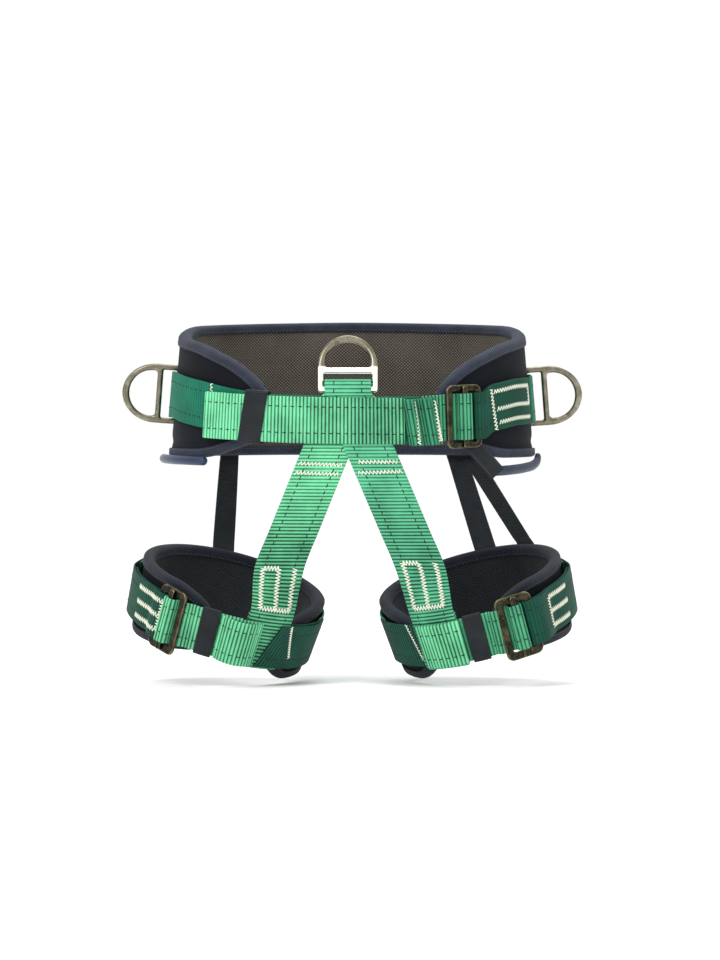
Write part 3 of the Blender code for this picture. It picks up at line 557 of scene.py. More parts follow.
class Nodes:
    """Short ways to lay out one material's nodes."""

    def __init__(self, name):
        self.material = bpy.data.materials.new(name)
        self.material.use_nodes = True
        self.tree = self.material.node_tree
        self.shader = next(n for n in self.tree.nodes if n.type == "BSDF_PRINCIPLED")

    def add(self, kind, inputs=(), **settings):
        node = self.tree.nodes.new(kind)
        for key, value in settings.items():
            setattr(node, key, value)
        for key, value in dict(inputs).items():
            self.put(node.inputs[key], value)
        return node

    def put(self, socket, value):
        if isinstance(value, bpy.types.NodeSocket):
            self.tree.links.new(value, socket)
        elif isinstance(value, bpy.types.Node):
            self.tree.links.new(value.outputs[0], socket)
        else:
            socket.default_value = value

    def math(self, operation, a, b=0.0, c=0.0):
        return self.add("ShaderNodeMath", {0: a, 1: b, 2: c}, operation=operation).outputs[0]

    def scaled(self, value, by, plus):
        return self.math("MULTIPLY_ADD", value, by, plus)

    def varied(self, tone, pattern, amount, middle=0.5):
        """The tone, raised where the pattern is above its middle and lowered where it is below."""
        return self.scaled(self.math("SUBTRACT", pattern, middle), amount, tone)

    def held(self, value):
        """The value kept from 0 to 1."""
        return self.math("MINIMUM", self.math("MAXIMUM", value, 0.0), 1.0)

    def wave(self, place, pitch, shift=0.0):
        """0 to 1 and back once in every pitch."""
        turned = self.scaled(place, 2 * math.pi / pitch, shift)
        return self.scaled(self.math("SINE", turned), 0.5, 0.5)

    def mix(self, factor, a, b):
        node = self.add("ShaderNodeMix", data_type="RGBA")
        self.put(node.inputs["Factor"], factor)
        self.put(node.inputs["A"], a)
        self.put(node.inputs["B"], b)
        return node.outputs["Result"]

    def shade(self, tone, dark, light):
        """Dark at tone 0, light at tone 1."""
        return self.mix(self.held(tone), dark, light)

    def place(self):
        return self.add("ShaderNodeTexCoord").outputs["Object"]

    def noise(self, scale, detail=3.0, vector=None):
        if vector is None:
            vector = self.place()
        inputs = {"Vector": vector, "Scale": scale, "Detail": detail}
        return self.add("ShaderNodeTexNoise", inputs).outputs["Fac"]

    def weave(self):
        """Metres along and across the webbing."""
        split = self.add("ShaderNodeSeparateXYZ", {0: self.add("ShaderNodeUVMap", uv_map="Weave")})
        return split.outputs[0], split.outputs[1]

    def bump(self, height, distance, strength=1.0):
        inputs = {"Strength": strength, "Distance": distance, "Height": height}
        self.put(self.shader.inputs["Normal"], self.add("ShaderNodeBump", inputs))

    def finish(self, colour, roughness, **fixed):
        self.put(self.shader.inputs["Base Color"], colour)
        self.put(self.shader.inputs["Roughness"], roughness)
        for key, value in fixed.items():
            self.shader.inputs[key.replace("_", " ")].default_value = value
        return self.material


def linear(red, green, blue):
    """A colour given as it looks, 0 to 255, turned into light."""
    looks = [c / 255 for c in (red, green, blue)]
    return *(c / 12.92 if c <= 0.04045 else ((c + 0.055) / 1.055) ** 2.4 for c in looks), 1.0


def webbing(name, light, dark, smooth=False, painted_light=None):
    """Woven nylon: a painted highlight on the rib crests and painted shade in the grooves, twisted yarns
    across each rib and a dusty wear. The painted light and shade is an axis, two places along it, and how
    much paler or deeper the webbing is painted at each, paler on the side the lamp falls on."""
    n = Nodes(name)
    along_it, across_it = n.weave()
    # Painted highlight on each rib's crest and painted shade in its groove.
    rib = n.math("POWER", n.wave(along_it, RIB_PITCH, -math.pi / 2), 0.6)
    lean = n.scaled(along_it, 0.55, across_it)
    yarns = n.wave(lean, YARN_PITCH)
    counter = n.wave(n.scaled(along_it, -0.55, across_it), YARN_PITCH)
    row = n.math("GREATER_THAN", n.wave(along_it, RIB_PITCH * 2, -math.pi / 2), 0.5)
    twist = n.add("ShaderNodeMix", {2: yarns, 3: counter, 0: row}, data_type="FLOAT").outputs[0]
    fibre = n.noise(4200.0, 2.0)
    patch = n.noise(38.0, 4.0)
    if smooth:
        twill = n.wave(n.scaled(along_it, 0.9, across_it), TWILL_PITCH)
        height = n.scaled(twill, 0.6, n.math("MULTIPLY", fibre, 0.4))
        tone = n.scaled(twill, 0.35, n.math("MULTIPLY", rib, 0.3))
    else:
        height = n.scaled(twist, 0.65, n.math("MULTIPLY", fibre, 0.35))
        tone = n.scaled(twist, 0.28, n.math("MULTIPLY", rib, 0.62))
    tone = n.varied(tone, fibre, 0.5)
    tone = n.varied(tone, patch, 0.55)
    tone = n.varied(0.46, tone, 1.35)
    # Painted light and shade: the tone made paler towards the lit end of an axis and deeper towards the
    # shaded end.
    if painted_light:
        axis, start, end, first, last = painted_light
        split = n.add("ShaderNodeSeparateXYZ", {0: n.place()})
        ranged = {"Value": split.outputs[axis], 1: start, 2: end, 3: first, 4: last}
        tone = n.math("ADD", tone, n.add("ShaderNodeMapRange", ranged))
    colour = n.shade(tone, dark, light)
    n.bump(height, 0.00022, 0.85)
    rough = n.scaled(fibre, 0.25, 0.52)
    return n.finish(colour, rough, Sheen_Weight=0.03, Sheen_Roughness=0.4, Specular_IOR_Level=0.15)


def cloth_tape(name, light, dark, pitch, relief=0.00025):
    """Ribbed tape or elastic: fine cords across, held by finer threads along."""
    n = Nodes(name)
    along_it, across_it = n.weave()
    cord = n.wave(along_it, pitch)
    thread = n.wave(across_it, TAPE_THREAD)
    fibre = n.noise(3500.0, 2.0)
    patch = n.noise(45.0, 3.0)
    height = n.scaled(thread, 0.3, n.scaled(fibre, 0.2, cord))
    tone = n.scaled(cord, 0.55, n.math("MULTIPLY", thread, 0.2))
    tone = n.varied(tone, patch, 0.7, 0.45)
    tone = n.varied(tone, fibre, 0.4)
    colour = n.shade(tone, dark, light)
    n.bump(height, relief, 0.9)
    rough = n.scaled(fibre, 0.2, 0.66)
    return n.finish(colour, rough, Sheen_Weight=0.06, Sheen_Roughness=0.5, Specular_IOR_Level=0.18)


def canvas(name, light, dark):
    """Heavy plain-woven nylon on the outside of the pads."""
    n = Nodes(name)
    along_it, across_it = n.weave()
    over = n.wave(along_it, TWILL_PITCH)
    under = n.wave(across_it, TWILL_PITCH)
    check = n.math("ABSOLUTE", n.math("SUBTRACT", over, under))
    fibre = n.noise(3000.0, 2.0)
    dust = n.noise(22.0, 5.0)
    tone = n.scaled(check, 0.5, n.scaled(dust, 0.9, -0.3))
    colour = n.shade(tone, dark, light)
    n.bump(n.scaled(fibre, 0.3, check), 0.0002, 0.8)
    rough = n.scaled(fibre, 0.2, 0.65)
    return n.finish(colour, rough, Sheen_Weight=0.02, Sheen_Roughness=0.5, Specular_IOR_Level=0.11)


def spacer_mesh(name, light, dark):
    """Open knitted padding mesh: pale knots in offset rows with small dark holes between them."""
    n = Nodes(name)
    along_it, across_it = n.weave()
    slow = n.noise(60.0, 2.0)
    across_it = n.scaled(slow, 0.0009, across_it)
    rising = n.wave(n.scaled(across_it, 1.25, along_it), MESH_PITCH)
    falling = n.wave(n.scaled(across_it, -1.25, along_it), MESH_PITCH)
    knots = n.math("MULTIPLY", rising, falling)
    dust = n.noise(16.0, 5.0)
    fuzz = n.noise(2600.0, 2.0)
    tone = n.scaled(knots, 1.15, n.scaled(dust, 0.6, -0.16))
    tone = n.varied(tone, fuzz, 0.5)
    colour = n.shade(tone, dark, light)
    n.bump(n.scaled(fuzz, 0.25, knots), 0.0005, 0.9)
    rough = n.scaled(fuzz, 0.15, 0.75)
    return n.finish(colour, rough, Sheen_Weight=0.05, Sheen_Roughness=0.6, Specular_IOR_Level=0.15)


def sewing_thread(name, light, dark):
    """Twisted polyester thread, a little soiled."""
    n = Nodes(name)
    along_it, across_it = n.weave()
    ply = n.wave(n.scaled(across_it, 1.4, along_it), 0.00055)
    soil = n.noise(180.0, 3.0)
    tone = n.scaled(ply, 0.35, n.math("MULTIPLY", soil, 0.9))
    colour = n.mix(n.math("MINIMUM", tone, 1.0), dark, light)
    n.bump(ply, 0.00012, 0.8)
    return n.finish(colour, n.scaled(soil, 0.2, 0.5), Sheen_Weight=0.2)


def forged(name, base, edge, pit, rough):
    """Forged, plated steel: a mottled skin, bright on the edges from wear and as a painted highlight, bright
    on the front ring's crossbar as a painted reflection, with scratches.
    """
    n = Nodes(name)
    worn = n.add("ShaderNodeAttribute", attribute_name="WearAndHighlight").outputs["Fac"]
    mottle = n.noise(110.0, 4.0)
    fine = n.noise(2400.0, 3.0)
    stretched = n.add("ShaderNodeMapping", {"Scale": (1.0, 1.0, 9.0)})
    n.put(stretched.inputs["Vector"], n.place())
    scratch = n.math("GREATER_THAN", n.noise(420.0, 2.0, stretched.outputs[0]), 0.63)
    blotch = n.held(n.scaled(mottle, 1.1, -0.15))
    skin = n.mix(blotch, pit, base)
    # Bright skin from the edge value, partly wear and partly a painted highlight, and the painted reflection
    # on the front ring's crossbar, with scratches on top.
    bright = n.varied(worn, mottle, 0.4)
    bright = n.math("MAXIMUM", bright, n.math("MULTIPLY", scratch, 0.22))
    bright = n.held(bright)
    colour = n.mix(bright, skin, edge)
    wobble = n.scaled(fine, 0.3, mottle)
    n.bump(wobble, 0.00009, 0.45)
    roughness = n.scaled(bright, -0.14, n.scaled(mottle, 0.22, rough))
    return n.finish(colour, roughness, Metallic=1.0, Coat_Weight=0.12, Coat_Roughness=0.3)


def moulded(name, base, worn):
    """Moulded or extruded plastic with fine scuffs."""
    n = Nodes(name)
    scuff = n.noise(520.0, 4.0)
    haze = n.noise(60.0, 3.0)
    tone = n.scaled(scuff, 0.5, n.scaled(haze, 0.7, -0.35))
    colour = n.shade(tone, base, worn)
    n.bump(scuff, 0.00012, 0.5)
    rough = n.scaled(scuff, 0.22, 0.24)
    return n.finish(colour, rough, Coat_Weight=0.08, Coat_Roughness=0.25, Specular_IOR_Level=0.35)


def floor_paint(name):
    """Pale paint, very slightly uneven."""
    n = Nodes(name)
    grain = n.noise(90.0, 3.0)
    colour = n.mix(grain, (0.95, 0.95, 0.945, 1), (0.975, 0.975, 0.97, 1))
    n.bump(grain, 0.0001, 0.1)
    return n.finish(colour, n.scaled(grain, 0.1, 0.7), Specular_IOR_Level=0.2)


# The ends of the green webbing's tone: a painted highlight for the rib crests and painted shade for the
# grooves.
LIT_CREST, SHADED_GROOVE = linear(122, 222, 166), linear(2, 56, 36)
# The lit copy of the ribbed green webbing, painted paler for the parts that face the lamp.
LIT_GREEN = webbing("LitGreenWebbing", LIT_CREST, SHADED_GROOVE)
# Painted light and shade along X: paler on the left, deeper to the right.
FRONT_GREEN = webbing("FrontGreenWebbing", LIT_CREST, SHADED_GROOVE, painted_light=(0, -0.13, 0.03, 0.15, -0.26))
# Painted light and shade along Z: paler at the top, deeper towards the bottom.
LEFT_GREEN = webbing("LeftGreenWebbing", LIT_CREST, SHADED_GROOVE, painted_light=(2, -0.1, -0.15, 0.07, -0.3))
# A copy of the ribbed green webbing with painted shade for the right bridge, away from the lamp, and painted
# light and shade along Z, paler at the top.
SHADED_RIGHT_GREEN = webbing("ShadedRightGreenWebbing", linear(100, 196, 150), linear(2, 50, 34),
                      painted_light=(2, -0.08, -0.13, 0.12, -0.12))
# A copy of the ribbed green webbing with painted shade, for the parts half turned from the lamp.
HALF_SHADED_GREEN = webbing("HalfShadedGreenWebbing", linear(84, 174, 130), linear(3, 50, 34))
# A copy of the ribbed green webbing with deeper painted shade, for the belt's tail.
SHADED_GREEN = webbing("ShadedGreenWebbing", linear(62, 150, 110), linear(4, 44, 32))
FLAT_GREEN = webbing("FlatGreenWebbing", linear(22, 134, 104), linear(5, 76, 58), smooth=True)
# A copy of the smooth green webbing painted deeper as shade, for the side straps.
SHADED_FLAT_GREEN = webbing("ShadedFlatGreenWebbing", linear(18, 92, 70), linear(4, 44, 34), smooth=True)
DARK_WRAP = webbing("DarkWrapWebbing", linear(24, 86, 68), linear(3, 28, 23))
TRACER = cloth_tape("TracerYarn", linear(14, 40, 34), linear(3, 12, 11), 0.0008)
THREAD_PALE = sewing_thread("PaleThread", linear(246, 247, 230), linear(196, 204, 178))
THREAD_DARK = sewing_thread("DarkThread", linear(52, 54, 62), linear(14, 15, 19))
SHELL = canvas("PadShellFabric", linear(17, 23, 33), linear(4, 6, 10))
LINING = spacer_mesh("PadMeshLining", linear(112, 104, 94), linear(20, 19, 19))
LEG_LINING = spacer_mesh("LegMeshLining", linear(46, 52, 56), linear(7, 8, 10))
BINDING = cloth_tape("RibbedBinding", linear(60, 68, 88), linear(8, 10, 17), 0.0017, 0.0004)
WING_BINDING = cloth_tape("LegBinding", linear(36, 44, 58), linear(5, 7, 12), 0.0017, 0.0004)
ELASTIC = cloth_tape("BlackElastic", linear(46, 52, 56), linear(8, 10, 13), 0.0013, 0.0003)
# The edge colours stand for both wear and a painted highlight on the edges.
RING_STEEL = forged("ForgedRingSteel", linear(150, 145, 126), linear(255, 253, 242), linear(88, 82, 64), 0.20)
BUCKLE_STEEL = forged("OliveBuckleSteel", linear(38, 39, 28), linear(196, 184, 136), linear(15, 15, 10), 0.24)
BLUE_TUBE = moulded("BlueGearTube", linear(10, 28, 56), linear(40, 66, 98))
GREY_HANDLE = moulded("GreyGearHandle", linear(14, 24, 44), linear(48, 66, 94))
FLOOR = floor_paint("PaleFloor")


# ---------------------------------------------------------------- pieces


def place(piece, body, material, slot=None, replaces=()):
    piece.data.materials.append(material)
    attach(piece, body)
    if replaces:
        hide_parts(*replaces)
    return piece


def trim(name, tubes, body, material=THREAD_PALE):
    return place(many_tubes(name, tubes), body, material)


def sewn(strap, *rows, swing=0.0021, pitch=0.0036):
    """Zigzag rows between places given as (x, z) seen from the front."""
    return [zigzag(strap, strap.seen(*a), strap.seen(*b), swing, pitch) for a, b in rows]


def spread(start, end, count):
    return np.linspace(start, end, count)


def hump(turn, middle, half_width):
    """A flat-topped hump, 1 at its middle."""
    return math.exp(-(((turn - middle) / half_width) ** 4))


def belt_out(turn):
    """How far out the main belt webbing's middle runs: in at the front, and out over each slot bar."""
    out = layer(WAIST_THICK, 0)
    if turn < 26:
        front = BELT_FRONT_OUT + WEB_THICK / 2
        part = max(0.0, (abs(turn) - 17) / 9)
        return front + (out - front) * min(1.0, part)
    over_bar = RING_SEAT + RING_BAR / 2 + BAR_CLEAR + WEB_THICK / 2
    rise = max(hump(turn, ring, 4.0) for ring in SIDE_RING_TURNS)
    return out + (over_bar - out) * rise


def buckle_roll(placement, inner):
    """Webbing from the inner side under a buckle's bar, rolled over its sliding bar and back."""
    under = BUCKLE_DEPTH / 2 + GAP + WEB_THICK / 2
    over = -(BUCKLE_DEPTH / 2 + SLIDE_BAR_DEPTH + 2 * GAP + WEB_THICK / 2 + PLATE_CLEAR)
    side = SLIDE_BAR_WIDTH / 2 + 0.0030
    route = ((0.0105, under), (side, under - 0.0006), (side, over / 2), (side - 0.0012, over), (0, over))
    there = [on_plate(placement, inner * x, y) for x, y in route]
    back = [on_plate(placement, -inner * x, y) for x, y in reversed(route[1:-1])]
    return there + back


def buckle_return(placement, outer, width, frame_bar=BUCKLE_BAR):
    """Webbing folded round a buckle's outer bar, from behind the bar to in front of it."""
    off = BUCKLE_DEPTH / 2 + GAP + WEB_THICK / 2
    edge = width / 2 - frame_bar
    rear = [(width / 2 + 0.0015, off), (edge - 0.0002, off), (edge - 0.0013, off - 0.0008)]
    route = rear + [(edge - 0.0016, 0)] + [(x, -y) for x, y in reversed(rear)]
    return [on_plate(placement, outer * x, y) for x, y in route]


def dress(name, strap, body, material, node=None, slot="green_webbing", hidden=0.0):
    """A strap's webbing and its tracer yarns, which start past its hidden end."""
    place(strap.body(name + "_weave"), body, material, slot, (node,) if node else ())
    trim(name + "_tracers", tracers(strap, hidden), body, TRACER)


def belt_line(turns, out=None):
    """Rows across the belt, at its own distance out or at a fixed one."""
    return lay(WAIST, [(t, belt_out(t) if out is None else out, along(BELT_UP, t)) for t in turns])


def build_belt():
    """The belt's webbing in the order it is sewn, and where its buckle sits."""
    out = layer(WAIST_THICK, 0) + WEB_THICK / 2 + GAP + BUCKLE_DEPTH / 2 + PLATE_CLEAR
    up = along(BELT_UP, BELT_BUCKLE_TURN)
    buckle = WAIST.matrix(BELT_BUCKLE_TURN, out, up, math.radians(BELT_BUCKLE_SPIN))
    build_belt_webbing(buckle)
    build_belt_side_strap(buckle)
    build_belt_tail()
    build_front_strap()
    return buckle


def build_belt_webbing(buckle):
    """Ribbed where it rolls over the buckle's bar, and smooth all the way round."""
    roll = list(reversed(buckle_roll(buckle, -1)))
    strap = Strap(roll + belt_line(spread(-26.0, -22.4, 4)), MIDDLE, 0.25)
    dress("belt_roll", strap, "waist", HALF_SHADED_GREEN, "belt_main_webbing")

    bends = [b + d for b in SIDE_RING_TURNS for d in (-9, -6.5, -4.5, -2, 0, 2, 4.5, 6.5, 9)]
    turns = [*spread(-22.0, 22.0, 12), *spread(26.0, 90.0, 12), *spread(128.0, 232.0, 13)]
    strap = Strap(belt_line(sorted(turns + bends + [264.0, 272.0, 280.0])), MIDDLE, rib=SMOOTH_RIB)
    dress("belt_main", strap, "waist", FLAT_GREEN)
    trim("belt_main_tack", sewn(strap, ((-0.1352, 0.0130), (-0.1358, 0.0030)), swing=0.0017), "waist")


def build_belt_side_strap(buckle):
    """Folded round the buckle's outer bar and sewn down on itself in three rows."""
    crest = layer(WAIST_THICK, 2) + 0.0006
    rows = belt_line([284.0, 290.0, 298.0, 305.0, 311.0], layer(WAIST_THICK, 1))
    rows += buckle_return(buckle, 1, BUCKLE_WIDTH)
    rows += belt_line([311.0, 305.0, 298.0, 291.5], crest) + belt_line([289.0], crest - 0.0003)
    strap = Strap(rows, MIDDLE, 0.8, rib=SMOOTH_RIB)
    dress("belt_side_strap", strap, "waist", SHADED_FLAT_GREEN, "belt_side_strap", "dark_green_webbing")
    joined = (
        ((0.1345, 0.0035), (0.1402, -0.0365)),
        ((0.1380, -0.0015), (0.1705, 0.0045)),
        ((0.1405, -0.0150), (0.1722, -0.0095)),
        ((0.1434, -0.0290), (0.1738, -0.0230)),
        ((0.1705, 0.0045), (0.1722, -0.0095)),
    )
    trim("belt_side_stitching", sewn(strap, *joined), "waist")


def build_belt_tail():
    """The folded end of the belt, with two soft ridges across it."""
    first, last = BELT_TAIL_TURNS
    drop = -0.0024
    low = [(t, layer(WAIST_THICK, 1), along(BELT_UP, t) + drop) for t in spread(last, first, 6)]
    bend = [(first + 0.55, layer(WAIST_THICK, 1.5), along(BELT_UP, first) + drop)]
    high = []
    for t in spread(first, last + 0.6, 44):
        ridges = hump(t, -19.2, 1.25) + hump(t, -24.4, 1.45)
        high.append((t, layer(WAIST_THICK, 2) + 0.0052 * ridges, along(BELT_UP, t) + drop))
    strap = Strap(lay(WAIST, low + bend + high, slant=2.4), MIDDLE, 0.8)
    dress("belt_tail", strap, "waist", SHADED_GREEN, "belt_tail", "dark_green_webbing")
    rows = (
        ((0.0600, -0.0090), (0.0652, -0.0490)),
        ((0.0812, -0.0070), (0.0852, -0.0460)),
        ((0.0840, -0.0070), (0.0880, -0.0460)),
    )
    trim("belt_tail_stitching", sewn(strap, *rows, swing=0.0016), "waist")


def build_front_strap():
    """The long pale strap over the front, its near end turned under."""
    out = FRONT_STRAP_OUT + WEB_THICK / 2
    start, end = FRONT_STRAP_TURNS
    stations = [(t, out - 0.0023, along(FRONT_STRAP_UP, t)) for t in spread(start - 9, start - 0.4, 5)]
    stations.append((start + 0.1, out - 0.00115, along(FRONT_STRAP_UP, start)))
    stations += [(t, out, along(FRONT_STRAP_UP, t)) for t in spread(start - 0.4, end, 30)]
    strap = Strap(lay(WAIST, stations), MIDDLE, pitch=0.0034)
    dress("belt_front_strap", strap, "waist", FRONT_GREEN, "belt_front_strap")


def bridge_row(side, out, up):
    """A row across a bridge strap in front of the body, level, settled back on the belly's curve."""
    fan = 0.0045 * share_of((0.0015 - up) / 0.006) * share_of((up + 0.046) / 0.03)
    x = BRIDGE_MIDDLE + SIDES[side] * (BRIDGE_SLOPES[side] * max(0.0, BRIDGE_START_UP - up) + fan)
    slant = share_of((FRONT_BAR_UP - up) / 0.03)
    width = WEB_WIDTH * (1 + slant * (math.sqrt(1 + BRIDGE_SLOPES[side] ** 2) - 1))
    centre = (x, WAIST.point(0.0, out, min(up, 0.0)).y, up)
    return settle(across_row(centre, (1, 0, 0), width, BRIDGE_PLACES), share_of((0.003 - up) / 0.008))


def share_of(value):
    return min(1.0, max(0.0, value))


def settle(row, amount):
    """The row, moved back by a share of the belly's curve."""
    half_width = WAIST_HALF_WIDTH + FRONT_BAR_OUT
    half_depth = WAIST_HALF_DEPTH + FRONT_BAR_OUT
    drop = half_depth * (1 - np.sqrt(1 - (row[:, 0] / half_width) ** 2))
    row = row.copy()
    row[:, 1] += amount * drop
    return row


def bridge_loop(side, nest):
    """Up behind the belt, round the slot bar and down in front, to the hinge line, and that line's Y."""
    rear = BELT_FRONT_OUT - PLY_STEP * (1 + nest) + WEB_THICK / 2
    fore = BELT_FRONT_OUT + PLY_STEP * (1 + nest) + WEB_THICK / 2
    reach = RING_DEPTH / 2 + BAR_CLEAR + WEB_THICK / 2 + nest * PLY_STEP
    rise = RING_BAR / 2 + LOOP_SLACK + nest * LOOP_STEP
    ups = list(spread(-0.060, -0.004, 6))
    outs = [rear] * len(ups) + [rear * 0.2 + (FRONT_BAR_OUT - reach) * 0.8]
    route = list(zip(outs, ups + [0.0015]))
    for a in (math.pi * i / 8 for i in range(9)):
        route.append((FRONT_BAR_OUT - reach * math.cos(a), FRONT_BAR_UP + rise * math.sin(a)))
    route.append((fore * 0.2 + (FRONT_BAR_OUT + reach) * 0.8, 0.0015))
    route += [(fore, up) for up in reversed(ups[1:])] + [(fore, HINGE_UP)]
    return [bridge_row(side, out, up) for out, up in route], WAIST.point(0.0, fore, HINGE_UP).y


def bridge_end(side):
    """Over the leg loop's band and back up behind it."""
    wrap = LEGS[side]
    lateral = np.linspace(-0.5, 0.5, BRIDGE_PLACES)
    table_turns, table_runs = wrap.lengths(layer(LEG_THICK, 1))
    metres = np.diff(np.interp((STRAP_END_TURN - 1, STRAP_END_TURN + 1), table_turns, table_runs))[0]
    turns = STRAP_END_TURN + SIDES[side] * lateral * (WEB_WIDTH / metres * 2)
    rear_ply, middle_ply, front_ply = (layer(LEG_THICK, k) for k in range(3))
    edge = WEB_WIDTH / 2
    route = [(front_ply + 0.0008, up) for up in (0.030, edge, 0.0, -edge)]
    route.append((front_ply - 0.0003, -edge - 0.0016))
    route.append((middle_ply, -edge - 0.0024))
    route.append((rear_ply + 0.0003, -edge - 0.0016))
    route += [(rear_ply, up) for up in (-edge, 0.0, edge, 0.030)]
    return [wrap.points(turns, out, up) for out, up in route]


def bridge_rows(side, nest):
    """A whole bridge strap, from behind the belt to behind the leg loop's band."""
    rows, hinge_y = bridge_loop(side, nest)

    def middle_at(up):
        return BRIDGE_MIDDLE + SIDES[side] * BRIDGE_SLOPES[side] * (BRIDGE_START_UP - up)

    box_y = LEGS[side].point(STRAP_END_TURN, layer(LEG_THICK, 2), 0.06).y
    start = np.array((middle_at(HINGE_UP), hinge_y, HINGE_UP))
    box = np.array((middle_at(BOX_TOP_UP), box_y, BOX_TOP_UP))
    width = WEB_WIDTH * math.sqrt(1 + BRIDGE_SLOPES[side] ** 2)
    for part in (0.33, 0.66, 1.0):
        row = across_row(start + (box - start) * part, (1, 0, 0), width, BRIDGE_PLACES)
        rows.append(settle(row, 1 - part))
    return rows + bridge_end(side)


def block(strap, head, foot, reach=0.0158, first_join=True):
    """Three zigzag rows along a strap between two places given as (x, z) seen from the front, joined at
    the head between the first two and at the foot across all three."""
    near, far = strap.seen(*head)[0], strap.seen(*foot)[0]
    rows = [((near, side), (far, side)) for side in (-reach, 0.0, reach)]
    rows.append(((far, -reach), (far, reach)))
    if first_join:
        rows.append(((near, -reach), (near, 0.0)))
    return [zigzag(strap, a, b, 0.0026, 0.0031) for a, b in rows]


BRIDGE_SEWING = {
    "left": (((-0.0500, -0.0680), (-0.0110, -0.0680)), ((-0.0535, -0.0768), (-0.0145, -0.0768))),
    "right": (((0.0040, -0.0665), (0.0430, -0.0665)), ((0.0075, -0.0755), (0.0465, -0.0755))),
}
BLOCK_ENDS = {
    "left": ((-0.0725, -0.1690), (-0.0890, -0.2075)),
    "right": ((0.0670, -0.1640), (0.0850, -0.2055)),
}


def across_hinge(made, material):
    """Gives a piece its material and bakes its placement into its mesh."""
    made.data.materials.append(material)
    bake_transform(made)


def build_bridge(side, nest, material):
    """One bridge strap with its tracers and stitching; a higher nest goes outside a lower one."""
    strap = Strap(bridge_rows(side, nest), (0, 0.05, -0.05), 0.42, pitch=LEG_RIB_PITCH)
    name = f"bridge_{side}_webbing"
    piece = strap.body(name)
    dashes = many_tubes(name + "_tracers", tracers(strap))
    rows = sewn(strap, *BRIDGE_SEWING[side]) + block(strap, *BLOCK_ENDS[side])
    stitches = many_tubes(name + "_stitching", rows)
    for made, finish in ((piece, material), (dashes, TRACER), (stitches, THREAD_PALE)):
        across_hinge(made, finish)
    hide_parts(f"bridge_strap_{side}", f"leg_strap_{side}")


LEG_SEWING = {
    "left": {
        "side": ((-0.2060, -0.1950), (-0.1850, -0.2110)),
        "wrap": (((-0.0585, -0.2240), (-0.0625, -0.2560)),),
    },
    "right": {
        "side": ((0.2070, -0.1880), (0.1905, -0.2020)),
        "wrap": (((0.0530, -0.2225), (0.0705, -0.2600)),),
    },
}


def leg_line(side, turns, ply, lift=0.0):
    """Rows across a leg loop's webbing at one ply."""
    return lay(LEGS[side], [(t, layer(LEG_THICK, ply) + lift, 0.0) for t in turns])


def build_leg_webbing(side):
    """A leg loop's webbing from the inside out, and where its buckle sits."""
    out = layer(LEG_THICK, 1) + WEB_THICK / 2 + GAP + BUCKLE_DEPTH / 2 + PLATE_CLEAR
    yaw = math.radians(LEG_BUCKLE_YAWS[side])
    buckle = LEGS[side].matrix(LEG_BUCKLE_TURNS[side], out + LEG_BUCKLE_LIFTS[side], 0.0, yaw=yaw)
    strap = Strap(leg_line(side, spread(96.0, 284.0, 26), 0), LEGS[side].centre, pitch=LEG_RIB_PITCH)
    dress(f"leg_{side}_band", strap, f"{side}_leg", HALF_SHADED_GREEN, f"leg_{side}_band")
    build_leg_side_strap(side, buckle)
    build_leg_wrap(side)
    build_leg_adjuster(side, buckle)
    build_leg_tail(side)
    return buckle


def build_leg_side_strap(side, buckle):
    """Folded round the buckle's outer bar, sewn in three rows, its end laid down on the band."""
    name = f"leg_{side}_side_strap"
    turns = [t for t in (84.0, 76.0, 68.0, 61.0, 54.0, 48.0) if t > LEG_BUCKLE_TURNS[side] + 16.0]
    rows = leg_line(side, turns, 1)
    rows += buckle_return(buckle, SIDES[side], LEG_BUCKLE_WIDTH, LEG_BUCKLE_BAR)
    rows += leg_line(side, turns[::-1], 2.3)
    for t, ply in ((90.0, 2.1), (96.0, 1.5), (101.0, 1.12), (106.0, 1.0)):
        rows += leg_line(side, [t], ply)
    strap = Strap(rows, LEGS[side].centre, 0.8, rib=0.00014)
    dress(name, strap, f"{side}_leg", SHADED_FLAT_GREEN, name, "dark_green_webbing")
    rows = block(strap, *LEG_SEWING[side]["side"], 0.0145, False)
    trim(f"leg_{side}_side_stitching", rows, f"{side}_leg")


def build_leg_wrap(side):
    """The dark webbing round the inner side; the left one has a second layer that climbs over."""
    body, name = f"{side}_leg", f"leg_{side}_wrap"
    wrap = LEGS[side]
    if side == "left":
        steps = zip(spread(-80.0, -29.0, 16), spread(0.0, 1.0, 16))
        climb = [(t, layer(LEG_THICK, 1 + 2.7 * min(1.0, part * 2.2)), 0.0, -11.0 * part)
                 for t, part in steps]
        over = Strap(lay(wrap, climb), wrap.centre, rib=0.0002)
        dress(name + "_over", over, body, DARK_WRAP)
    strap = Strap(leg_line(side, spread(-80.0, tail_split(side) - 0.5, 14), 1), wrap.centre, rib=0.0003)
    dress(name, strap, body, DARK_WRAP)
    cover = over if side == "left" else strap
    trim(name + "_stitching", sewn(cover, *LEG_SEWING[side]["wrap"], swing=0.0012, pitch=0.003), body)


def tail_split(side):
    """The turn where the dark webbing ends, under the tail."""
    return sum(LEG_TAIL_TURNS[side]) / 2


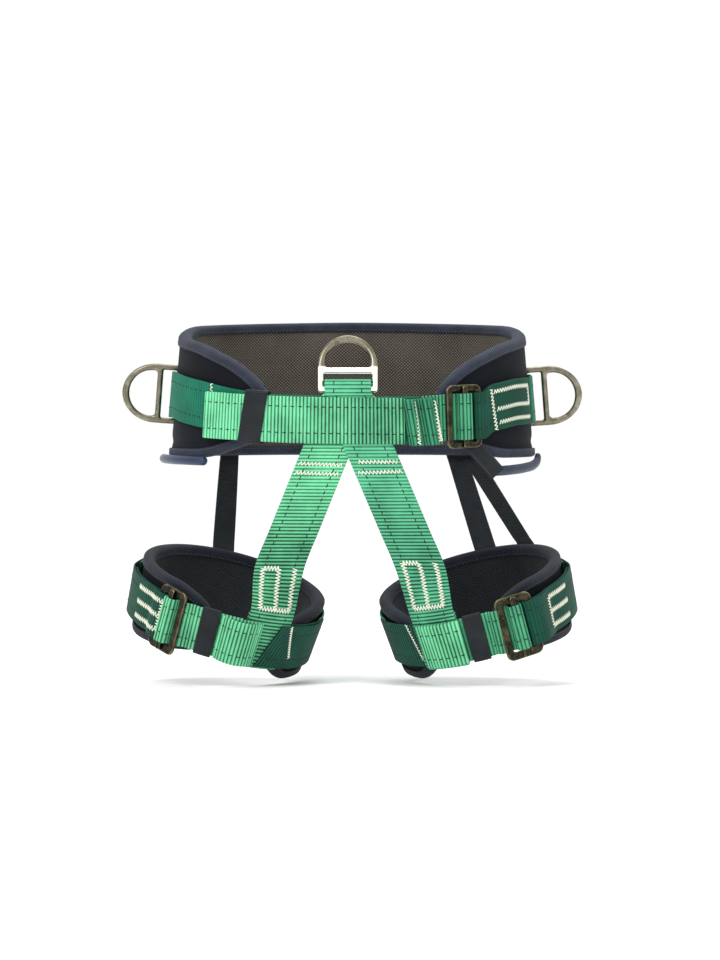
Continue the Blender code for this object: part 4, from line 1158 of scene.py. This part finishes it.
def build_leg_adjuster(side, buckle):
    """The ribbed strap into the buckle; the right one has a proud fold."""
    name = f"leg_{side}_adjust_strap"
    rows = []
    for t in spread(tail_split(side), LEG_BUCKLE_TURNS[side] - 12.5, 26):
        rows += leg_line(side, [t], 1, 0.0046 * hump(t, 7.3, 1.25) if side == "right" else 0.0)
    rows += buckle_roll(buckle, -SIDES[side])
    # The left strap takes the lit copy of the webbing, the right one a copy with painted shade.
    material = LIT_GREEN if side == "left" else HALF_SHADED_GREEN
    dress(name, Strap(rows, LEGS[side].centre, 0.3), f"{side}_leg", material, name)


def build_leg_tail(side):
    """The loose end, folded back on itself and bulging a little."""
    name = f"leg_{side}_tail"
    first, last = LEG_TAIL_TURNS[side]
    rows = leg_line(side, spread(last + 1.0, first, 8), 3.35) + leg_line(side, [first + 0.7], 3.75)
    bulge = 0.0098 if side == "left" else 0.0026
    for t in spread(first, last, 12):
        part = (first - t) / (first - last)
        rows += leg_line(side, [t], 4, bulge * math.sin(math.pi * min(1.0, part * 1.06)) ** 0.8)
    strap = Strap(rows, LEGS[side].centre, 0.8, pitch=0.0040)
    dress(name, strap, f"{side}_leg", LIT_GREEN, name, hidden=0.028)


def sleeve(name, wrap, turn, half, out, up, inside, slack, body, node, lean=0.0):
    """An elastic keeper: a soft loop of ribbed elastic round the webbing."""
    wall = 0.0012
    near, far = out - wall / 2, out + inside + wall / 2
    corner = min(0.0016, (far - near) / 2 * 0.9)
    path = np.array(rounded_box((far - near) / 2, WEB_WIDTH / 2 + slack + wall / 2, corner, places=6))
    path[:, 0] += (near + far) / 2
    path = np.vstack([path, path[:1]])
    at = runs_of(path)
    even = np.linspace(0, at[-1], 161)[:-1]
    loop = np.stack([np.interp(even, at, path[:, k]) for k in (0, 1)], -1)
    ahead = unit(np.roll(loop, -1, 0) - np.roll(loop, 1, 0))
    outward = np.stack([ahead[:, 1], -ahead[:, 0]], -1)
    profile = [(s, 0.5) for s in np.linspace(-1, 1, 15)]
    profile += [(-s, -0.5) for s, _ in profile]
    rings = []
    for (x, z), (ox, oz) in zip(loop, outward):
        ring = []
        for s, o in profile:
            swell = 0.00012 * (1 - s * s) * (o > 0)
            depth = o * wall + swell
            there = turn + s * half - lean * z
            ring.append(wrap.points(there, x + ox * depth, up(there) + z + oz * depth))
        rings.append(ring)
    across = [s * 0.0055 for s, _ in profile]
    piece = ring_mesh(name, np.array(rings), np.append(even, at[-1]), np.array(across + across[:1]), True)
    return place(piece, body, ELASTIC, "black_elastic", (node,))


def build_keepers():
    """The belt's slanted keeper, and one square on each leg strap."""
    sleeve("belt_elastic_keeper", WAIST, BELT_KEEPER_TURN - 0.3, 4.0,
           layer(WAIST_THICK, 0) - WEB_THICK / 2 - GAP - 0.0004,
           lambda t: (along(FRONT_STRAP_UP, t) + along(BELT_UP, t)) / 2,
           2 * PLY_STEP + WEB_THICK + 0.0018, 0.0022, "belt_keeper", "belt_keeper", 45.0)
    for side, wrap in LEGS.items():
        sleeve(f"leg_{side}_elastic_keeper", wrap, LEG_KEEPER_TURNS[side], 5.2,
               layer(LEG_THICK, 1) - WEB_THICK / 2 - GAP, lambda t: 0.0, WEB_THICK + 2 * GAP + 0.0008,
               0.0008, f"{side}_leg_keeper", f"leg_{side}_keeper")


# ---------------------------------------------------------------- pads


def edge_loop(wrap, turns, top, bottom):
    """The pad's edge as even (run, up) places, the way inward at each, and the metres to each."""
    tables = wrap.lengths()
    fine = np.linspace(turns[0], turns[1], 600)
    runs = np.interp(fine, *tables)
    upper, lower = np.stack([runs, eased(top, fine)], -1), np.stack([runs, eased(bottom, fine)], -1)
    closed = np.vstack([upper, lower[::-1], upper[:1]])
    at = runs_of(closed)
    even = np.linspace(0, at[-1], int(at[-1] / 0.0016) + 1)[:-1]
    flat = np.stack([np.interp(even, at, closed[:, k]) for k in (0, 1)], -1)
    for _ in range(4):
        flat = (np.roll(flat, 1, 0) + 2 * flat + np.roll(flat, -1, 0)) / 4
    ahead = unit(np.roll(flat, -1, 0) - np.roll(flat, 1, 0))
    inward = np.stack([ahead[:, 1], -ahead[:, 0]], -1)
    return flat, inward, np.append(even, at[-1]), tables


def edge_point(wrap, tables, place, out):
    """Points on a wrap at (run, up) places."""
    return wrap.points(np.interp(place[..., 0], tables[1], tables[0]), out, place[..., 1])


def binding_profile(near, far):
    """Round the pad's edge as (in from the edge, out from the inner face), outside then inside skin."""
    middle, reach = (near + far) / 2, (far - near) / 2
    profile = []
    for sign, skin in ((1, 0.0), (-1, BIND_SKIN)):
        bend = np.radians(np.linspace(-90, 90, 9))
        side = [(d, middle - reach + skin) for d in BIND_FLANKS]
        side += [(BIND_CROWN * (1 - math.cos(a)) + skin, middle + (reach - skin) * math.sin(a)) for a in bend]
        side += [(d, middle + reach - skin) for d in BIND_FLANKS[::-1]]
        profile += side[::sign]
    return np.array(profile)


def build_binding(name, wrap, turns, top, bottom, thick, body, node, material):
    """Ribbed tape folded over a pad's edge, with a row of stitches on each face."""
    flat, inward, run, tables = edge_loop(wrap, turns, top, bottom)
    near, far = -GAP - BIND_SKIN, thick + GAP + BIND_SKIN
    profile = binding_profile(near, far)
    place_at = flat[:, None] + inward[:, None] * profile[None, :, :1]
    rings = edge_point(wrap, tables, place_at, profile[None, :, 1])
    piece = ring_mesh(name, rings, run, np.append(runs_of(profile), 0.0), True)
    place(piece, body, material, "binding_tape", (node,))
    seam = flat + inward * SEAM_IN
    stitches = []
    for out, way in ((far, 1), (near, -1)):
        for start in np.arange(0.0, run[-1] - 0.004, SEAM_PITCH):
            t = start + np.array([0.0, 0.2, 0.5, 0.8, 1.0]) * SEAM_STITCH
            spot = np.stack([np.interp(t, run[:-1], seam[:, k]) for k in (0, 1)], -1)
            lift = np.array([-0.9, 0.3, 0.8, 0.3, -0.9]) * SEAM_THREAD * way
            path = edge_point(wrap, tables, spot, out + lift)
            normals = edge_point(wrap, tables, spot, out + 0.001) - edge_point(wrap, tables, spot, out)
            stitches.append(tube_rings(path, normals, SEAM_THREAD, 4))
    trim(name + "_stitches", stitches, body, THREAD_DARK)


def vectors(mesh, what="co"):
    """A mesh's vertices, or their normals, as rows of three."""
    values = np.empty(len(mesh.vertices) * 3)
    mesh.vertices.foreach_get(what, values)
    return values.reshape(-1, 3)


def applied(piece):
    """A new mesh of the piece with its modifiers applied, which it then loses."""
    graph = bpy.context.evaluated_depsgraph_get()
    mesh = bpy.data.meshes.new_from_object(piece.evaluated_get(graph))
    piece.modifiers.clear()
    return mesh


def puff(piece, fixed, most):
    """The closed shell inflated by cloth pressure, some points fixed, none moving out further than most."""
    before, normals = vectors(piece.data), vectors(piece.data, "normal")
    group = piece.vertex_groups.new(name="Held")
    group.add(np.nonzero(fixed)[0].tolist(), 1.0, "REPLACE")
    swell = piece.modifiers.new("Swell", "CLOTH")
    swell.settings.quality = 6
    swell.settings.vertex_group_mass = "Held"
    swell.settings.use_pressure = True
    swell.settings.uniform_pressure_force = 4.0
    swell.settings.effector_weights.gravity = 0.0
    swell.settings.tension_stiffness = 18.0
    swell.settings.compression_stiffness = 18.0
    swell.point_cache.frame_start = 1
    swell.point_cache.frame_end = 20
    scene = bpy.context.scene
    for number in range(1, 21):
        scene.frame_set(number)
    moved = vectors(piece.evaluated_get(bpy.context.evaluated_depsgraph_get()).data) - before
    piece.modifiers.remove(swell)
    scene.frame_set(1)
    outward = (moved * normals).sum(1)
    sideways = moved - outward[:, None] * normals
    out = most * np.tanh(np.clip(outward, -0.0004, None) / most)
    after = before + out[:, None] * normals + 0.4 * np.clip(sideways, -0.001, 0.001)
    piece.data.vertices.foreach_set("co", after.ravel())
    piece.vertex_groups.remove(group)


def build_pad(name, wrap, turns, top, bottom, thick, step, rows, seam, body, node, lining):
    """A padded shell: woven outside, mesh inside, quilted down on a seam above its lower edge."""
    tables = wrap.lengths()
    ends = np.interp(turns, *tables)
    columns = int((ends[1] - ends[0] - 0.005) / step)
    runs = np.linspace(ends[0] + 0.0025, ends[1] - 0.0025, columns + 1)
    at = np.interp(runs, tables[1], tables[0])
    high, low = eased(top, at) - EDGE_INSET, eased(bottom, at) + EDGE_INSET
    share = np.linspace(0, 1, rows)
    ups = low[:, None] + (high - low)[:, None] * share[None]
    from_end = np.minimum(runs - runs[0], runs[-1] - runs)[:, None]
    from_side = np.minimum(ups - low[:, None], high[:, None] - ups)
    from_edge = np.minimum(from_end, from_side)
    full = np.clip(from_edge / 0.0065, 0, 1)
    body_half = (thick / 2 - 0.0004) * np.sqrt(1 - 0.95 * (1 - full) ** 2)
    from_seam = np.abs(ups - low[:, None] - seam)
    quilt = np.where(seam > 0, np.exp(-((from_seam / 0.0035) ** 2)), 0.0) * full
    slow = np.sin(runs * 61.0)[:, None] * np.sin(ups * 83.0 + 1.0) + 0.6 * np.sin(runs * 133.0 + 2.0)[:, None]
    soft = np.clip((from_edge - 0.008) / 0.012, 0, 1)
    outer = thick / 2 + body_half - 0.0022 * quilt + 0.0003 * slow * soft
    inner = thick / 2 - body_half + 0.0007 * quilt - 0.0002 * slow * soft
    there = wrap.points(at[:, None], outer, ups)
    back = wrap.points(at[:, None], inner, ups)[:, ::-1]
    rings = np.concatenate([there, back], axis=1)
    slots = np.concatenate([np.zeros(rows, int), np.ones(rows, int)])
    across = np.concatenate([share, share[::-1], share[:1]]) * (high - low).mean()
    piece = ring_mesh(name, rings, runs, across, slots=slots)
    fixed = (from_edge < 0.0085) | (quilt > 0.75)
    fixed = np.concatenate([fixed, fixed[:, ::-1]], axis=1)
    if np.abs(vectors(piece.data).reshape(rings.shape) - rings).max() > 1e-5:
        fixed = fixed[:, ::-1]
    puff(piece, fixed.ravel(), 0.0016)
    smooth = piece.modifiers.new("Smooth", "SUBSURF")
    smooth.levels = smooth.render_levels = 1
    piece.data = applied(piece)
    piece.data.materials.append(SHELL)
    stands_for = (node + "_pad_cover", node + "_pad_core", node + "_pad_lining")
    place(piece, body, lining, "black_fabric", stands_for)


# ---------------------------------------------------------------- forged pieces


def d_outline(half_width, bow_base, bow_rise, foot, corner):
    """A bow over straight sides and two round corners."""
    bow = np.linspace(0, np.pi, 41)
    points = [(half_width * math.cos(t), bow_base + bow_rise * math.sin(t)) for t in bow]
    for sx, start in ((-1, 180), (1, 270)):
        for t in np.radians(start + np.linspace(0, 90, 7)):
            x = sx * (half_width - corner) + corner * math.cos(t)
            points.append((x, foot + corner + corner * math.sin(t)))
    return points


def rounded_box(half_x, half_z, radius, middle_z=0.0, places=7):
    """A rectangle with round corners, each of that many places."""
    points = []
    for sx, sz, start in ((1, 1, 0), (-1, 1, 90), (-1, -1, 180), (1, -1, 270)):
        for a in np.radians(start + np.linspace(0, 90, places)):
            x = sx * (half_x - radius) + radius * math.cos(a)
            points.append((x, middle_z + sz * (half_z - radius) + radius * math.sin(a)))
    return points


def plate(name, outlines, depth, round_by):
    """A flat plate with windows and rounded edges, lying in its own XY plane."""
    curve = bpy.data.curves.new(name, "CURVE")
    curve.dimensions = "2D"
    curve.fill_mode = "BOTH"
    curve.extrude = depth / 2 - round_by
    curve.bevel_depth = round_by
    curve.bevel_resolution = 4
    curve.offset = -round_by
    for outline in outlines:
        spline = curve.splines.new("POLY")
        spline.points.add(len(outline) - 1)
        spline.points.foreach_set("co", np.array([(x, z, 0, 1) for x, z in outline], float).ravel())
        spline.use_cyclic_u = True
    shape = linked(name + "_shape", curve)
    mesh = bpy.data.meshes.new_from_object(shape.evaluated_get(bpy.context.evaluated_depsgraph_get()))
    bpy.data.objects.remove(shape)
    return linked(name, mesh)


def wear_and_highlight_of(mesh, grain):
    """How bright each point's skin is, from 0 in hollows and on flats to 1 on edges that stand out: partly
    wear and partly a painted highlight.
    """
    places, normals = vectors(mesh), vectors(mesh, "normal")
    edges = np.empty(len(mesh.edges) * 2, np.int64)
    mesh.edges.foreach_get("vertices", edges)
    a, b = edges.reshape(-1, 2).T
    pull, number = np.zeros_like(places), np.zeros(len(places))
    for here, there in ((a, b), (b, a)):
        np.add.at(pull, here, places[there] - places[here])
        np.add.at(number, here, 1)
    worn = -(pull / number[:, None] * normals).sum(1) / grain
    for _ in range(2):
        total = worn.copy()
        for here, there in ((a, b), (b, a)):
            np.add.at(total, here, worn[there])
        worn = total / (number + 1)
    return np.clip((worn - 0.03) * 9, 0, 1)


def forging(name, outlines, depth, round_by, placement, grain, body, material, slot, node, reflection_height=-1.0):
    """A plate melted into one forged skin, with a value on its edges for wear and a painted highlight, and a
    painted reflection on what is below the given height."""
    piece = plate(name, outlines, depth, round_by)
    weld = piece.modifiers.new("Weld", "WELD")
    weld.merge_threshold = 0.00001
    melt = piece.modifiers.new("Melt", "REMESH")
    melt.mode = "VOXEL"
    melt.voxel_size = grain
    soften = piece.modifiers.new("Soften", "SMOOTH")
    soften.factor = 0.5
    soften.iterations = 6
    mesh = applied(piece)
    piece.data = mesh
    # A painted reflection on what is below the given height.
    painted_reflection = np.clip((reflection_height - vectors(mesh)[:, 1]) / 0.0012, 0, 1)
    mesh.transform(placement @ Matrix.Rotation(math.radians(90), 4, "X"))
    # Wear and a painted highlight on the edges, and the painted reflection below the given height.
    worn = np.maximum(wear_and_highlight_of(mesh, grain), painted_reflection)
    mesh.attributes.new("WearAndHighlight", "FLOAT", "POINT").data.foreach_set("value", worn.astype(np.float32))
    mesh.materials.clear()
    mesh.shade_smooth()
    return place(piece, body, material, slot, (node,))


def build_rings():
    """The three D-rings: a bow, and a slot for the webbing below its crossbar."""
    half = RING_WIDTH / 2
    inner = half - RING_BAR
    slot_top = RING_BAR / 2 + RING_SLOT
    eye_base = slot_top + RING_BAR
    outlines = (
        d_outline(half, eye_base, RING_BOW_RISE, -RING_BAR / 2, 0.003),
        d_outline(inner - 0.0013, eye_base + 0.005, RING_BOW_RISE - RING_BAR - 0.0063, eye_base, 0.003),
        rounded_box(inner, RING_SLOT / 2, 0.0012, RING_BAR / 2 + RING_SLOT / 2),
    )
    a = math.radians(SIDE_RING_LEAN)
    for side, turn in zip(SIDES, SIDE_RING_TURNS):
        up = along(BELT_UP, turn)
        origin = WAIST.point(turn, RING_SEAT, up)
        outward = WAIST.basis(turn, RING_SEAT, up)[1]
        outward.z = 0.0
        outward.normalize()
        bar = Vector((0, 0, 1)) * math.cos(a) - outward * math.sin(a)
        placement = ring_placement(origin, bar, Vector((SIDES[side], 0, 0)))
        forging(f"forged_ring_{side}", outlines, RING_DEPTH, RING_ROUND, placement, GRAIN,
                f"{side}_ring", RING_STEEL, "forged_steel", f"d_ring_{side}")
    origin = WAIST.point(0.0, FRONT_BAR_OUT, 0.0) + Vector((BRIDGE_MIDDLE, 0, FRONT_BAR_UP))
    a = math.radians(FRONT_RING_LEAN)
    placement = ring_placement(origin, Vector((1, 0, 0)), Vector((0, math.sin(a), math.cos(a))))
    # The front ring's crossbar and feet get a painted reflection.
    forging("forged_ring_front", outlines, RING_DEPTH, RING_ROUND, placement, GRAIN,
            "front_ring", RING_STEEL, "forged_steel", "d_ring_front", eye_base + 0.0012)


def ring_placement(origin, along_bar, to_bow):
    """A placement with X along the slot bar and Z towards the bow."""
    x = along_bar.normalized()
    z = (to_bow - x * to_bow.dot(x)).normalized()
    y = z.cross(x)
    return Matrix.Translation(origin) @ Matrix((x, y, z)).transposed().to_4x4()


def build_buckle(name, length, width, frame_bar, placement, body, bar_body):
    """A frame with one window, and the bar that slides on it under the webbing."""
    outer = rounded_box(width / 2, length / 2, 0.007)
    window = rounded_box(width / 2 - frame_bar, length / 2 - frame_bar, 0.002)
    forging(name + "_frame_forging", (outer, window), BUCKLE_DEPTH, BUCKLE_ROUND, placement, GRAIN,
            body, BUCKLE_STEEL, "bronze_steel", name + "_frame")
    lift = Matrix.Translation((0, -(BUCKLE_DEPTH + SLIDE_BAR_DEPTH) / 2 - GAP, 0))
    bar = rounded_box(SLIDE_BAR_WIDTH / 2, length / 2 - 0.0012, 0.002)
    forging(name + "_bar_forging", (bar,), SLIDE_BAR_DEPTH, SLIDE_BAR_ROUND, placement @ lift,
            SLIDE_BAR_GRAIN, bar_body, BUCKLE_STEEL, "bronze_steel", name + "_bar")


# ---------------------------------------------------------------- elastics and gear loops


def build_suspenders():
    """Elastics from the waist pad's lower edge to the leg pads, sewn flat on both."""
    for name, (side, top_turn, foot_turn, depth) in SUSPENDERS.items():
        wrap = LEGS[side]
        top_edge = along(mirrored(WAIST_BOTTOM), top_turn) - EDGE_INSET
        low_edge = along(LEG_TOP, foot_turn)
        head = WAIST.point(top_turn, WAIST_THICK * depth, top_edge)
        foot = wrap.point(foot_turn, LEG_THICK / 2, low_edge + EDGE_INSET)
        head_across = WAIST.basis(top_turn, 0, 0)[0]
        foot_across = wrap.basis(foot_turn, 0, 0)[0]
        if head_across.dot(foot_across) < 0:
            foot_across = -foot_across
        sewn_up = WAIST_THICK + BIND_SKIN + 0.0014 + max(0.0, depth - 0.5) * 0.0085
        sewn_down = LEG_THICK + BIND_SKIN + 0.0014
        ends = [WAIST.point(top_turn, sewn_up, top_edge + up) for up in (0.017, 0.010, 0.0035)]
        tails = [wrap.point(foot_turn, sewn_down, low_edge - down) for down in (0.0035, 0.010, 0.017)]
        rows = [across_row(p, head_across, ELASTIC_WIDTH) for p in ends]
        for part in spread(0.09, 0.91, 8):
            across = head_across.lerp(foot_across, part).normalized()
            rows.append(across_row(ends[-1].lerp(tails[0], part), across, ELASTIC_WIDTH))
        rows += [across_row(p, foot_across, ELASTIC_WIDTH) for p in tails]
        behind = (head + foot) / 2 - Vector((0, 0.2, 0))
        strap = Strap(rows, behind, 0.5, 0.0014, 0.00016, 0.0018)
        piece = strap.body(name + "_elastic")
        stitches = many_tubes(name + "_stitching", suspender_stitches(name, strap))
        for made, finish in ((piece, ELASTIC), (stitches, THREAD_DARK)):
            across_hinge(made, finish)
        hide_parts(name)


def suspender_stitches(name, strap):
    """Two rows across each end, and a cross above the left one's foot."""
    edge, length = ELASTIC_WIDTH / 2 - 0.0015, strap.length
    tubes = [zigzag(strap, (at, -edge), (at, edge), 0.0014, 0.0028, 0.00032)
             for at in (0.004, 0.010, length - 0.004, length - 0.010)]
    if name == "suspender_left_rear":
        for side in (-edge, edge):
            cross = ((length - 0.030, side), (length - 0.018, -side))
            tubes.append(zigzag(strap, *cross, 0.0012, 0.0028, 0.0003))
    return tubes


def gear_loop(name, stations, radius, flat, material, slot, node):
    """A smooth rod through places below the waist pad, its ends rounded off."""
    route = np.array([WAIST.points(*station) for station in stations])
    at = runs_of(route)
    even = np.linspace(0, at[-1], 90)
    from_end = np.minimum(even, at[-1] - even)
    radii = radius * np.sqrt(1 - 0.93 * np.clip(1 - from_end / 0.004, 0, 1) ** 2)
    rings = tube_rings(hermite(route, at, even), np.tile((0.0, 0.0, 1.0), (90, 1)), radii, 20, flat)
    place(many_tubes(name, [rings]), "waist", material, slot, (node,))


def build_gear_loops():
    """The left tube, which bows out a little, and the right handle with its tape."""
    reach = WAIST_THICK + BIND_SKIN + GEAR_ROD + GAP * 3
    outs = reach + 0.0020 * np.sin(np.linspace(0, math.pi, 7))
    stations = [(turn, out, GEAR_TUBE_UP) for turn, out in zip(spread(*GEAR_TUBE_TURNS, 7), outs)]
    gear_loop("gear_loop_tube", stations, GEAR_ROD, 1.0, BLUE_TUBE, "blue_plastic", "gear_loop_left")
    gear_loop("gear_loop_handle", GEAR_HANDLE, GEAR_HANDLE_ROD, 1.5, GREY_HANDLE, "black_plastic",
              "gear_loop_right")
    build_gear_tape()


def build_gear_tape():
    """The short tape that holds the handle's front end."""
    hang = [(-41.0 - 9.5 * part, WAIST_THICK + BIND_SKIN + 0.0020 + 0.004 * part, -0.050 - 0.0290 * part)
            for part in spread(0.0, 1.0, 8)]
    across = unit(WAIST.points(-44.0, 0.012, -0.06) - WAIST.points(-40.0, 0.012, -0.06))
    across = unit(across * 0.75 + np.array((0.0, 0.0, 0.55)))
    rows = [across_row(WAIST.points(*station), across, 0.018) for station in hang]
    tape = Strap(rows, (0, 0, -0.06), 0.5, 0.0014, 0.0002, 0.0017)
    place(tape.body("gear_loop_tape"), "waist", ELASTIC, "binding_tape")
    edge = tape.width / 2 - 0.0018
    seams = [stitch_line(tape, (0.001, side), (tape.length - 0.001, side)) for side in (edge, -edge)]
    trim("gear_loop_tape_stitches", seams[0] + seams[1], "waist", THREAD_DARK)


# ---------------------------------------------------------------- the whole, floor, light and camera


def build_stage():
    """A pale floor just below the saddle, a white studio and three soft lamps."""
    bpy.ops.mesh.primitive_plane_add(size=60.0, location=(0, 0, cad_box[0][2] - 0.004))
    floor = bpy.context.object
    floor.name = "floor"
    floor.data.materials.append(FLOOR)
    world = bpy.data.worlds.new("Studio")
    bpy.context.scene.world = world
    bpy.context.scene.view_settings.view_transform = "Standard"
    world.use_nodes = True
    world.node_tree.nodes["Background"].inputs[0].default_value = (1.0, 1.0, 1.0, 1)
    world.node_tree.nodes["Background"].inputs[1].default_value = 1.05
    for name, spot, size, power in (
        ("key", (-1.1, -1.9, 1.7), 1.1, 34),
        ("fill", (1.6, -1.7, 0.6), 1.4, 7),
        ("top", (0.1, 0.5, 2.0), 1.2, 22),
    ):
        light = bpy.data.lights.new(name, "AREA")
        light.size = size
        light.energy = power
        lamp = linked(name, light)
        lamp.location = spot
        lamp.rotation_euler = (Vector((0, 0, -0.08)) - Vector(spot)).to_track_quat("-Z", "Y").to_euler()


def build_camera():
    """A long lens in front, two degrees above level."""
    data = bpy.data.cameras.new("Camera")
    data.lens = 400
    data.sensor_width = 36
    data.clip_end = 60
    camera = linked("Camera", data)
    back = Vector((0, -math.cos(math.radians(2)), math.sin(math.radians(2))))
    camera.location = Vector((0.0078, -0.14, -0.0834)) + back * 10.34
    camera.rotation_euler = (-back).to_track_quat("-Z", "Y").to_euler()
    bpy.context.scene.camera = camera


def build():
    """The whole saddle from the pads outward, then the stage."""
    waist_turns = (WAIST_TIP_TURN, 360 - WAIST_TIP_TURN)
    top, bottom = mirrored(WAIST_TOP), mirrored(WAIST_BOTTOM)
    build_pad("waist_pad", WAIST, waist_turns, top, bottom, WAIST_THICK, 0.0052, 27, 0.0125, "waist",
              "waist", LINING)
    build_binding("waist_binding", WAIST, waist_turns, top, bottom, WAIST_THICK, "waist",
                  "waist_pad_binding", BINDING)
    for side, wrap in LEGS.items():
        build_pad(f"leg_{side}_padding", wrap, LEG_TIP_TURNS, LEG_TOP, LEG_BOTTOM, LEG_THICK, 0.0048, 17,
                  0.0, f"{side}_leg", f"leg_{side}", LEG_LINING)
        build_binding(f"leg_{side}_binding", wrap, LEG_TIP_TURNS, LEG_TOP, LEG_BOTTOM, LEG_THICK,
                      f"{side}_leg", f"leg_{side}_pad_binding", WING_BINDING)
    belt_buckle = build_belt()
    build_buckle("belt_buckle", BUCKLE_LENGTH, BUCKLE_WIDTH, BUCKLE_BAR, belt_buckle, "waist", "belt_bar")
    build_bridge("left", 0, LEFT_GREEN)
    build_bridge("right", 1, SHADED_RIGHT_GREEN)
    for side in LEGS:
        buckle = build_leg_webbing(side)
        build_buckle(f"leg_{side}_buckle", LEG_BUCKLE_LENGTH, LEG_BUCKLE_WIDTH, LEG_BUCKLE_BAR, buckle,
                     f"{side}_leg", f"{side}_leg_bar")
    build_keepers()
    build_rings()
    build_suspenders()
    build_gear_loops()
    build_stage()
    build_camera()


build()
